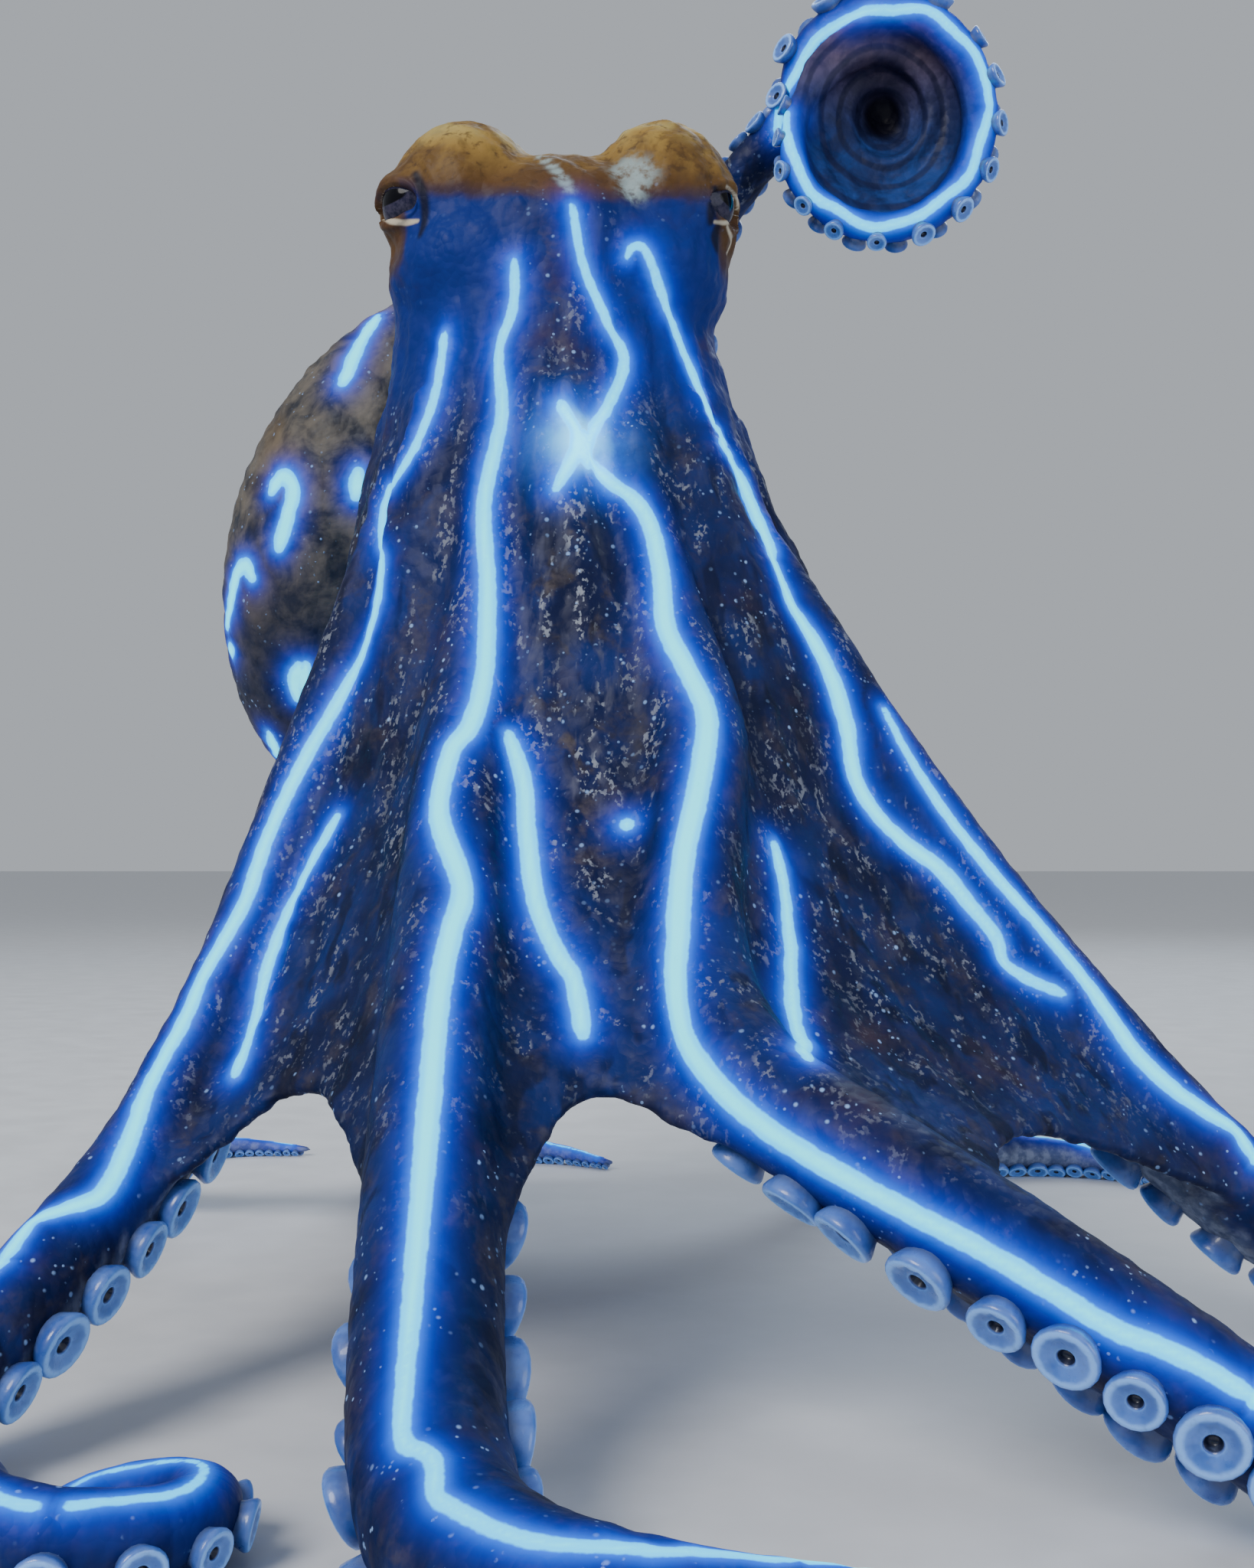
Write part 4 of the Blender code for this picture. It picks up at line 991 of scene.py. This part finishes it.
def mark_head_back(marks):
    for azimuth, top, bottom in ((118, 62, 50), (150, 61, 52), (-112, 60, 50), (205, 58, 51)):
        line = []
        for z in np.linspace(top, bottom, 10):
            a = math.radians(azimuth + 5 * math.sin(z * 0.7))
            line.append((0.3 + 12 * math.sin(a), -11 * math.cos(a), z))
        marks.add(smooth_path(line, LINE_STEP), (0.6, 0.8))


def build_marks(tree):
    marks = Marks(tree)
    ends = {}
    for arm_name, widths, places in FRONT_LINES:
        ends[arm_name] = marks.on_front(widths, places)
    for u, v, size in DOTS:
        place = marks.spot(u, v)
        if place is not None:
            marks.put(place, size / 2)
    for dash in MANTLE_DASHES:
        hits = marks.cast(dash, behind=8.0)
        if hits:
            marks.add(smooth_path(hits, LINE_STEP) if len(hits) > 2 else hits, DASH_WIDTHS[:1])
    draw = random.Random("lines")
    for name in arms:
        mark_arm(marks, name, ends.get(name), draw)
    mark_raised_coil(marks)
    mark_mantle_back(marks, draw)
    mark_head_back(marks)
    return marks


def shape_by_places(tree, places, lines):
    """Distance of the head's front from short lines given in the picture, less half their width."""
    drawn = Marks(tree)
    for widths, points in lines:
        drawn.on_front(widths, points)
    near = (places[:, 2] > 58) & (places[:, 1] < 6)
    result = np.full(len(places), 9.0)
    result[near] = distance_to_marks(places[near], drawn)
    return result


def distance_to_marks(places, marks):
    index, away = nearest(marks.points, places)
    return away - np.array(marks.halves)[index]


# Suckers

SUCKER_SIDES = 20
SUCKER_SEAT = 0.9  # from the arm's centre line, in arm radii
FIRST_SUCKER = 2.0
SUCKER_SPACING = 1.12  # from one sucker to the next in the other row, in sucker radii
COIL_SPACING = 1.65
COIL_SUCKERS = 1.2  # their size on the raised coil against those elsewhere
RIM_ROOM = 1.2  # kept free over a sucker, which is left out where the web covers it
FOOT_SPLAY = math.radians(20)  # more to the sides where the first right arm bends on the floor
FOOT = (0.52, 0.13)  # where that is along the arm, and how far it reaches, as shares of its length
SUCKER_PROFILE = (
    # radius and height over the arm's surface, for a rim of radius 1; the last column is the shade,
    # which is low on the rim and high deep in the cup, where it paints a shadow
    (0.80, -0.75, 1.0), (0.84, -0.12, 1.0), (0.91, 0.08, 0.9), (0.99, 0.27, 0.8),
    (1.03, 0.42, 0.65), (1.00, 0.53, 0.4), (0.93, 0.59, 0.15), (0.83, 0.60, 0.1),
    (0.70, 0.56, 0.3), (0.53, 0.49, 0.45), (0.39, 0.45, 0.35), (0.30, 0.44, 0.25),
    (0.25, 0.38, 1.5), (0.22, 0.20, 2.0), (0.12, 0.12, 2.0),
)


def sucker_template():
    profile = np.array(SUCKER_PROFILE)
    angles = round_angles(SUCKER_SIDES)
    verts, shades = [], []
    for k, (radius, height, shade) in enumerate(profile):
        groove = 0.028 * np.cos(10 * angles) if 8 <= k <= 10 else 0.0
        ring = np.column_stack([
            radius * np.cos(angles), radius * np.sin(angles), height + groove + 0 * angles
        ])
        verts.append(ring)
        shades.extend([shade] * SUCKER_SIDES)
    verts = np.concatenate(verts + [np.array([[0, 0, profile[-1][1]]])])
    shades.append(2.0)
    faces = tube_faces(len(profile), SUCKER_SIDES)
    last = (len(profile) - 1) * SUCKER_SIDES
    for k in range(SUCKER_SIDES):
        faces.append((last + k, last + (k + 1) % SUCKER_SIDES, len(verts) - 1))
    faces.append(tuple(range(SUCKER_SIDES))[::-1])
    return verts, faces, np.array(shades)


def coil_start(arm):
    """The distance along an arm where the raised coil starts."""
    distances = np.arange(0, arm.length, 0.5)
    away = np.linalg.norm(arm.at(distances)[0] - COIL_CENTRE, axis=1)
    return distances[np.argmax(away < 8.0)]


def clear_of_skin(rim, axis, tree):
    """Whether a rim's points lie outside the skin, with none of it right over them."""
    inside = 0
    for point in rim:
        near, normal, _, _ = tree.find_nearest(Vector(point))
        inside += (Vector(point) - near).dot(normal) < 0.0
        inside += 2 * (tree.ray_cast(Vector(point), Vector(axis), RIM_ROOM)[0] is not None)
    return inside < 2


def make_suckers(name, arm, tree):
    template, faces, shades = sucker_template()
    draw = random.Random("suckers " + name)
    coil_from = coil_start(arm) if name == "l3" else 1e9
    verts, all_faces, all_shades, count = [], [], [], 0
    distance, row = FIRST_SUCKER, 1
    while distance < arm.length - 0.5:
        centre, tangent, back, side, radius = arm.at(distance)
        size = sucker_radius(radius) * draw.uniform(0.9, 1.1)
        if distance > coil_from:
            size *= COIL_SUCKERS
        splay = ROW_ANGLE
        if name == "r1":
            splay += FOOT_SPLAY * math.exp(-((distance / arm.length - FOOT[0]) / FOOT[1]) ** 2)
        axis = -math.cos(splay) * back + row * math.sin(splay) * side
        axis = unit(axis + 0.1 * np.array([draw.uniform(-1, 1) for _ in range(3)]))
        along = unit(tangent - (tangent @ axis) * axis)
        other = np.cross(axis, along)
        spin = draw.uniform(0, math.tau)
        turn = np.array([[math.cos(spin), -math.sin(spin)], [math.sin(spin), math.cos(spin)]])
        local = template * size
        local[:, :2] = local[:, :2] @ turn.T * np.array([draw.uniform(0.92, 1.06), 1.0])
        base = centre + SUCKER_SEAT * radius * axis
        placed = base + local[:, :1] * along + local[:, 1:2] * other + local[:, 2:] * axis
        placed = inside_box(placed)
        if clear_of_skin(placed[5 * SUCKER_SIDES:6 * SUCKER_SIDES:3], axis, tree):
            verts.append(placed)
            all_faces.extend([tuple(i + count for i in face) for face in faces])
            all_shades.append(shades)
            count += len(placed)
        wide = COIL_SPACING if distance > coil_from else SUCKER_SPACING
        distance += wide * size * draw.uniform(0.93, 1.07)
        row = -row
    mesh = mesh_from(f"suckers_{name}", np.concatenate(verts), all_faces)
    set_value(mesh, "shade", np.concatenate(all_shades))
    return mesh


# Materials


class Graph:
    """A small helper for building a material's nodes."""

    def __init__(self, name):
        self.material = bpy.data.materials.new(name)
        self.material.use_nodes = True
        self.nodes = self.material.node_tree.nodes
        self.links = self.material.node_tree.links
        self.shader = self.nodes["Principled BSDF"]
        self.place = self.node("ShaderNodeTexCoord").outputs["Object"]

    def node(self, kind, **settings):
        made = self.nodes.new(kind)
        for key, value in settings.items():
            setattr(made, key, value)
        return made

    def put(self, socket, value):
        if isinstance(value, bpy.types.NodeSocket):
            self.links.new(value, socket)
        else:
            socket.default_value = (*value, 1) if socket.type == "RGBA" else value

    def value(self, name):
        return self.node("ShaderNodeAttribute", attribute_name=name).outputs["Fac"]

    def feed(self, name, value):
        """Gives one of the shader's own sockets a constant or a link."""
        self.put(self.shader.inputs[name], value)

    def math(self, operation, a, b=0.0):
        made = self.node("ShaderNodeMath", operation=operation)
        self.put(made.inputs[0], a)
        self.put(made.inputs[1], b)
        return made.outputs[0]

    def times(self, a, b):
        return self.math("MULTIPLY", a, b)

    def plus(self, a, b):
        return self.math("ADD", a, b)

    def most(self, a, b):
        return self.math("MAXIMUM", a, b)

    def ramp(self, value, low, high, out_low=0.0, out_high=1.0):
        """A smooth step from one value to another, clamped at both."""
        made = self.node("ShaderNodeMapRange", clamp=True, interpolation_type="SMOOTHSTEP")
        for socket, item in zip(made.inputs, (value, low, high, out_low, out_high)):
            self.put(socket, item)
        return made.outputs[0]

    def mix(self, share, a, b):
        made = self.node("ShaderNodeMix", data_type="RGBA")
        for key, value in (("Factor", share), ("A", a), ("B", b)):
            self.put(made.inputs[key], value)
        return made.outputs["Result"]

    def lay(self, share, colour):
        """Puts a colour over the ones there."""
        self.base = self.mix(share, self.base, colour)

    def noise(self, size_mm, detail=3.0, rough=0.55, distort=0.0, stretch=None):
        made = self.node("ShaderNodeTexNoise")
        place = self.place
        if stretch:
            mapping = self.node("ShaderNodeMapping")
            mapping.inputs["Scale"].default_value = stretch
            self.put(mapping.inputs["Vector"], place)
            place = mapping.outputs["Vector"]
        for key, value in (("Vector", place), ("Scale", 1000.0 / size_mm), ("Detail", detail),
                           ("Roughness", rough), ("Distortion", distort)):
            self.put(made.inputs[key], value)
        return made.outputs["Fac"]

    def cells(self, size_mm):
        made = self.node("ShaderNodeTexVoronoi")
        self.put(made.inputs["Vector"], self.place)
        self.put(made.inputs["Scale"], 1000.0 / size_mm)
        return made.outputs["Distance"]

    def bump(self, height, strength, distance_mm):
        made = self.node("ShaderNodeBump")
        made.inputs["Strength"].default_value = strength
        made.inputs["Distance"].default_value = distance_mm * METRES
        self.put(made.inputs["Height"], height)
        self.links.new(made.outputs["Normal"], self.shader.inputs["Normal"])


CORE_GLOW = 1.25
HALO_GLOW = 0.7
HALO_FALL = 2.1  # for each mm away from a line
FLARE_GLOW = 0.9


def skin_material():
    g = Graph("octopus_skin")
    line, ochre_zone, face, coil, band = (
        g.value(name) for name in ("line", "ochre", "face", "coil", "band")
    )
    broad = g.noise(7.0, 3.0, 0.6)
    patches = g.noise(2.4, 4.0, 0.6, 0.4)
    fine = g.noise(0.7, 3.0, 0.6)
    grain = g.cells(0.55)

    navy = g.mix(g.ramp(broad, 0.38, 0.66), (0.003, 0.007, 0.040), (0.008, 0.020, 0.115))
    brown = g.mix(g.ramp(fine, 0.3, 0.7), (0.016, 0.014, 0.020), (0.070, 0.058, 0.056))
    mottle = g.ramp(patches, 0.50, 0.66)
    mottle = g.times(mottle, g.plus(0.45, g.times(band, 0.5)))
    g.base = g.mix(mottle, navy, brown)
    streaks = g.ramp(g.noise(1.1, 3.0, 0.6, 0.3, (1.0, 1.0, 0.22)), 0.52, 0.70)
    streaks = g.times(streaks, g.plus(0.15, g.times(band, 0.7)))
    g.lay(streaks, (0.070, 0.074, 0.115))
    # Pale flecks in vertical rows: the skin's grain, laid only on sides that face the front as a
    # painted sheen
    grain_and_sheen_rows = g.ramp(g.noise(1.5, 3.0, 0.6, 0.2, (1.0, 1.0, 0.12)), 0.50, 0.60)
    flecks = g.ramp(g.noise(0.32, 2.0, 0.6, 0.0, (1.0, 1.0, 0.7)), 0.53, 0.61)
    rows = g.times(grain_and_sheen_rows, g.times(flecks, g.value("front")))
    g.lay(g.times(rows, 0.9), (0.22, 0.24, 0.29))
    # Painted shade in thin creases that run down the skin
    crease_shade = g.ramp(g.noise(1.7, 2.0, 0.5, 0.2, (1.0, 1.0, 0.16)), 0.47, 0.36)
    g.lay(g.times(crease_shade, 0.7), (0.002, 0.004, 0.018))
    # Painted shade in the troughs of the skirt's folds
    g.lay(g.ramp(g.value("fold"), -0.9, 0.1, 0.7, 0.0), (0.004, 0.008, 0.035))
    g.lay(g.times(face, 0.85), (0.002, 0.018, 0.17))

    wander = g.times(g.math("SUBTRACT", g.noise(5.0, 4.0, 0.65), 0.5), 0.7)
    split = g.node("ShaderNodeSeparateXYZ")
    g.links.new(g.place, split.inputs[0])
    level = split.outputs["Z"]
    # The ochre is painted lighter toward the top of the head where the light falls, and paler still on
    # the tops as a painted highlight
    high = g.ramp(g.plus(level, g.times(wander, 0.0025)), 0.0665, 0.0705)
    ochre = g.mix(high, (0.085, 0.040, 0.014), (0.27, 0.165, 0.040))
    ochre = g.mix(g.ramp(patches, 0.42, 0.60, 0.7, 0.0), ochre, (0.075, 0.036, 0.012))
    lit_tops = g.times(g.ramp(level, 0.0690, 0.0716), g.ramp(g.noise(3.6, 2.0), 0.46, 0.62))
    ochre = g.mix(g.times(lit_tops, 0.55), ochre, (0.50, 0.42, 0.15))
    ochre = g.mix(g.ramp(fine, 0.52, 0.68, 0.0, 0.7), ochre, (0.055, 0.028, 0.012))
    edge = g.plus(ochre_zone, g.times(wander, 1.6))
    g.lay(g.ramp(edge, 0.02, 0.45), (0.040, 0.024, 0.040))
    g.lay(g.ramp(edge, 0.35, 0.95), ochre)
    pale = g.times(g.value("pale"), g.ramp(fine, 0.30, 0.60, 0.35, 1.0))
    g.lay(g.ramp(pale, 0.10, 0.95, 0.0, 0.75), (0.30, 0.40, 0.42))

    olive = g.mix(g.ramp(patches, 0.35, 0.65), (0.018, 0.021, 0.030), (0.125, 0.110, 0.092))
    olive = g.mix(g.ramp(broad, 0.48, 0.72, 0.0, 0.6), olive, (0.150, 0.105, 0.055))
    olive = g.mix(g.ramp(level, 0.054, 0.036, 0.0, 0.8), olive, (0.008, 0.014, 0.045))
    g.lay(g.value("mantle"), olive)

    inside = g.mix(g.ramp(level, 0.073, 0.081), (0.014, 0.045, 0.19), (0.095, 0.062, 0.075))
    inside = g.mix(g.ramp(patches, 0.38, 0.70, 0.75, 0.0), inside, (0.008, 0.010, 0.035))
    # Dark rings between the coil's turns and a near-black middle: painted shade in the coil's hollow
    radial = g.value("radial")
    turns = g.math("SINE", g.plus(g.times(radial, 5.2), g.times(broad, 5.0)))
    inside = g.mix(g.ramp(turns, -0.2, -0.9, 0.0, 0.65), inside, (0.006, 0.008, 0.030))
    inside = g.mix(g.ramp(radial, 1.9, 0.9), inside, (0.003, 0.003, 0.010))
    g.lay(coil, inside)
    oral = g.mix(g.ramp(fine, 0.35, 0.65), (0.10, 0.13, 0.22), (0.26, 0.30, 0.40))
    g.lay(g.times(g.value("under"), 0.8), oral)

    specks = g.cells(0.85)
    small = g.cells(0.42)
    crowd = g.ramp(g.noise(5.0, 2.0), 0.42, 0.62)
    tiny = g.times(g.ramp(small, 0.24, 0.12), g.ramp(fine, 0.50, 0.58))
    dots = g.most(g.ramp(specks, 0.19, 0.08), tiny)
    dots = g.times(dots, g.most(crowd, g.times(band, 0.9)))
    dots = g.times(dots, g.ramp(g.noise(0.9, 1.0), 0.44, 0.52))
    bare = g.most(g.most(ochre_zone, g.times(face, 0.9)), coil)
    dots = g.times(dots, g.math("SUBTRACT", 1.0, bare))
    g.lay(g.times(dots, 0.75), (0.30, 0.48, 0.85))

    ragged = g.plus(line, g.times(g.math("SUBTRACT", fine, 0.5), 0.22))
    core = g.ramp(ragged, 0.05, -0.08)
    halo = g.math("POWER", 2.718, g.times(g.most(line, 0.0), -HALO_FALL))
    halo = g.times(halo, g.ramp(line, 5.0, 1.5))
    g.lay(g.times(halo, 0.9), (0.002, 0.050, 0.70))
    middle = g.ramp(line, -0.10, -0.45)
    glow = g.mix(middle, (0.0, 0.50, 1.0), (0.05, 0.80, 0.95))
    g.lay(core, (0.01, 0.30, 0.45))
    flare = g.times(g.value("flare"), g.ramp(patches, 0.25, 0.6, 0.6, 1.0))
    g.lay(g.times(flare, 0.8), (0.06, 0.34, 0.95))
    # Painted shade in the grooves beside the lids and in the middle of the floor coil
    groove = g.ramp(g.value("groove"), 0.35, -0.05)
    g.lay(g.times(groove, 0.9), (0.003, 0.004, 0.014))
    rim = g.ramp(g.value("rim"), 0.12, -0.06)
    g.lay(rim, (0.46, 0.40, 0.30))
    g.feed("Base Color", g.base)
    blue = g.mix(g.ramp(line, 0.0, 0.7), (0.01, 0.25, 1.0), (0.0, 0.035, 0.85))
    blue = g.mix(g.ramp(flare, 0.25, 1.0), blue, (0.18, 0.80, 1.0))
    g.feed("Emission Color", g.mix(core, blue, glow))
    strength = g.plus(g.times(core, CORE_GLOW), g.times(halo, HALO_GLOW))
    strength = g.plus(strength, g.times(flare, FLARE_GLOW))
    g.feed("Emission Strength", strength)

    g.feed("Roughness", g.ramp(patches, 0.3, 0.7, 0.45, 0.65))
    g.feed("Specular IOR Level", 0.12)
    g.feed("Coat Weight", 0.03)
    g.feed("Coat Roughness", 0.25)
    height = g.plus(g.times(grain, -0.55), g.times(patches, 0.9))
    height = g.plus(height, g.times(dots, 0.35))
    g.bump(height, 0.55, 0.22)
    return g.material


def sucker_material():
    g = Graph("sucker")
    shade = g.value("shade")
    fine = g.noise(0.5, 3.0)
    pale = g.mix(g.ramp(g.noise(1.5), 0.35, 0.65), (0.03, 0.085, 0.36), (0.09, 0.19, 0.56))
    rim = g.ramp(shade, 0.35, 0.1)
    g.base = g.mix(rim, pale, (0.22, 0.46, 0.95))
    # Darker toward the foot, and a painted shadow deep in the cup
    g.lay(g.times(g.ramp(shade, 0.8, 1.0), 0.75), (0.055, 0.075, 0.16))
    g.lay(g.ramp(shade, 1.2, 1.6), (0.012, 0.018, 0.05))
    g.lay(g.ramp(fine, 0.55, 0.75, 0.0, 0.35), (0.10, 0.15, 0.30))
    g.feed("Base Color", g.base)
    # Painted glow along the rims
    g.feed("Emission Color", (0.10, 0.38, 1.0))
    lit = g.times(g.ramp(shade, 0.8, 0.2), 0.16)
    g.feed("Emission Strength", lit)
    g.feed("Roughness", g.ramp(fine, 0.3, 0.7, 0.25, 0.45))
    g.feed("Coat Weight", 0.3)
    g.bump(fine, 0.35, 0.06)
    return g.material


def eye_material():
    g = Graph("eye")
    pupil = g.value("pupil")
    streak = g.noise(0.5, 4.0, 0.7)
    iris = g.mix(g.ramp(streak, 0.35, 0.65), (0.008, 0.010, 0.030), (0.045, 0.040, 0.070))
    g.base = g.mix(g.ramp(pupil, 1.0, 0.85), iris, (0.002, 0.002, 0.004))
    g.feed("Base Color", g.base)
    g.feed("Roughness", g.ramp(streak, 0.3, 0.7, 0.10, 0.18))
    g.feed("Specular IOR Level", 0.1)
    g.feed("Coat Weight", 0.04)
    g.feed("Coat Roughness", 0.06)
    g.bump(streak, 0.08, 0.02)
    return g.material


# All together


def note(name, values):
    """A value for each of the skin's points, for its material."""
    set_value(skin.data, name, values)


def settle(obj, material):
    """Moves a finished shape into the row frame in metres and gives it its material."""
    obj.data.transform(Matrix.Translation(Vector(-ORIGIN)))
    obj.data.transform(Matrix.Scale(METRES, 4))
    obj.data.materials.clear()
    obj.data.materials.append(material)
    obj.data.shade_smooth()
    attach(obj, "root")


nodes = sorted(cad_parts)
skin = make_skin()
fold, off = shape_skin(skin)
refine_round_eyes(skin, {"fold": fold, "off": off})
open_lids(skin)
places = coordinates(skin.data)
normal = normals_of(skin.data)
polygons = [tuple(p.vertices) for p in skin.data.polygons]
tree = BVHTree.FromPolygons([Vector(p) for p in places], polygons)
marks = build_marks(tree)
note("line", distance_to_marks(places, marks))
x, y, z = places.T
centre_band = np.exp(-(((x - 1.0 - 0.02 * (60 - z)) / 3.2) ** 2)) * (y < 0) * smoothstep(z, 20, 34)
note("band", centre_band)
face = smoothstep(z, 50, 57) * (1 - smoothstep(y, 2, 6)) * (1 - 0.8 * centre_band)
note("face", face)
# Sides that face the front, the only ones that get the painted sheen of pale flecks
front = smoothstep(-normal[:, 1], 0.1, 0.6) * smoothstep(z, 10, 20)
note("front", front * (0.7 + 0.3 * centre_band) * (1 - face))
flare = np.linalg.norm(places - marks.spot(*FLARE), axis=1)
note("flare", np.exp(-((flare / 2.5) ** 2)))
note("rim", shape_by_places(tree, places, RIMS))
# Painted shade in the middle of the floor coil, and in the grooves beside the lids
coil_hollow_shade = np.hypot(x - FLOOR_COIL[0], y - FLOOR_COIL[1]) - 2.2 + 9.0 * (z > 5)
note("groove", np.minimum(coil_hollow_shade, shape_by_places(tree, places, GROOVE_SHADES)))
pale = np.zeros(len(places))
for u, v, reach in PALE_PLACES:
    away = np.linalg.norm(places - marks.spot(u, v), axis=1)
    pale = np.maximum(pale, np.exp(-((away / reach) ** 2)))
note("pale", pale)
ochre = smoothstep(z - 0.14 * np.abs(x - 1) * (y < 0), 64.4, 66.6)
beside_eyes = smoothstep(np.abs(x - 0.3), 8.9, 9.8) * smoothstep(z, 61.2, 64.2)
ochre = np.maximum(ochre, 0.9 * beside_eyes) * (y < 12) * (x < 11.6)
from_arms = read(skin.data.attributes["off"].data, "value", 1)[:, 0]
ochre *= smoothstep(from_arms, 1.3, 1.6)
note("ochre", ochre)
rel = (places - MANTLE_CENTRE) @ mantle_frame() / (MANTLE_HALVES + 0.9)
egg_radius = np.maximum((1 - np.clip(rel[:, 2], -1, 1) ** 2) ** MANTLE_FULLNESS, 0.05)
on_mantle = smoothstep(np.hypot(rel[:, 0], rel[:, 1]) / egg_radius, 1.12, 1.0)
on_mantle *= (np.abs(rel[:, 2]) < 1.02) * smoothstep(y, 7.0, 9.0)
note("mantle", on_mantle)
from_coil = places - COIL_CENTRE
radial = np.hypot(*((from_coil - from_coil[:, 1:2] * COIL_AXIS) / (1, 1, COIL_TALL)).T[[0, 2]])
in_coil = (1 - smoothstep(radial, 5.6, 6.3)) * (np.linalg.norm(from_coil, axis=1) < 10.5)
note("coil", in_coil)
note("radial", radial)
outwards = unit(np.column_stack([x - CROWN_X, y, np.full(len(x), 1e-9)]))
facing_in = -np.sum(outwards * normal, axis=1) - 0.3 * normal[:, 2]
under = smoothstep(facing_in, 0.2, 0.7) * (z < 46.5) * (1 - smoothstep(y, 9, 12) * (z > 33))
note("under", under * (1 - on_mantle))
settle(skin, skin_material())
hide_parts(*[n for n in nodes if not n.startswith("eye")])

sucker_look = sucker_material()
for name, arm in arms.items():
    obj = fresh(make_suckers(name, arm, tree))
    settle(obj, sucker_look)

eye_look = eye_material()
for name, side in (("eye_right", -1), ("eye_left", 1)):
    soup = Soup()
    facing, across = eye_frame(side)
    soup.ball((0, 0, 0), (1, 1, 1), segments=64, rings=40)
    ball = soup.verts[0]
    bulge = 1 + CORNEA_HEIGHT * np.exp(-((1 - ball @ facing) / CORNEA_REACH) ** 2)
    verts = eye_centre(side) + ball * EYE_SHOWN * bulge[:, None]
    mesh = mesh_from(name + "_ball", verts, soup.faces)
    u, w = ball @ across, ball[:, 2]
    pupil = np.sqrt((u / PUPIL[0]) ** 2 + (w / PUPIL[1]) ** 2) + (ball @ facing < 0) * 5
    set_value(mesh, "pupil", np.clip(pupil, 0, 5))
    obj = fresh(mesh)
    settle(obj, eye_look)
    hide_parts(name)


# Camera, floor and light


def floor_material():
    g = Graph("floor")
    speck = g.noise(6.0, 4.0)
    pale = g.mix(g.ramp(speck, 0.3, 0.7), (0.60, 0.61, 0.63), (0.66, 0.67, 0.69))
    g.feed("Base Color", pale)
    g.feed("Roughness", g.ramp(speck, 0.3, 0.7, 0.55, 0.7))
    g.bump(speck, 0.05, 0.2)
    return g.material


mesh = mesh_from("floor", [(-4, -3, 0), (4, -3, 0), (4, 5, 0), (-4, 5, 0)], [(0, 1, 2, 3)])
floor = fresh(mesh)
floor.data.materials.append(floor_material())

camera_data = bpy.data.cameras.new("camera")
camera_data.sensor_width = SENSOR
camera_data.lens = FOCAL / PICTURE_HIGH * SENSOR
camera_data.clip_start = 0.002
camera = bpy.data.objects.new("camera", camera_data)
bpy.context.scene.collection.objects.link(camera)
camera.location = Vector(CAMERA - ORIGIN) * METRES
camera.rotation_euler = (math.pi / 2 + TILT, 0, 0)
bpy.context.scene.camera = camera

world = bpy.data.worlds.new("studio")
world.use_nodes = True
background = world.node_tree.nodes["Background"].inputs
background["Color"].default_value = (0.80, 0.85, 0.92, 1)
background["Strength"].default_value = 0.55
bpy.context.scene.world = world


def soft_light(name, place, aim, size, power, colour):
    data = bpy.data.lights.new(name, "AREA")
    data.shape = "DISK"
    data.size = size
    data.energy = power
    data.color = colour
    light = bpy.data.objects.new(name, data)
    bpy.context.scene.collection.objects.link(light)
    light.location = place
    light.rotation_euler = (Vector(aim) - Vector(place)).to_track_quat("-Z", "Y").to_euler()


AIM = (-0.015, 0.0, 0.04)
soft_light("key", (-0.25, -0.30, 0.35), AIM, 0.25, 2.2, (1.0, 0.98, 0.95))
soft_light("fill", (0.35, -0.25, 0.15), AIM, 0.3, 0.7, (0.85, 0.92, 1.0))
soft_light("rim", (0.10, 0.35, 0.35), AIM, 0.25, 0.7, (0.75, 0.87, 1.0))
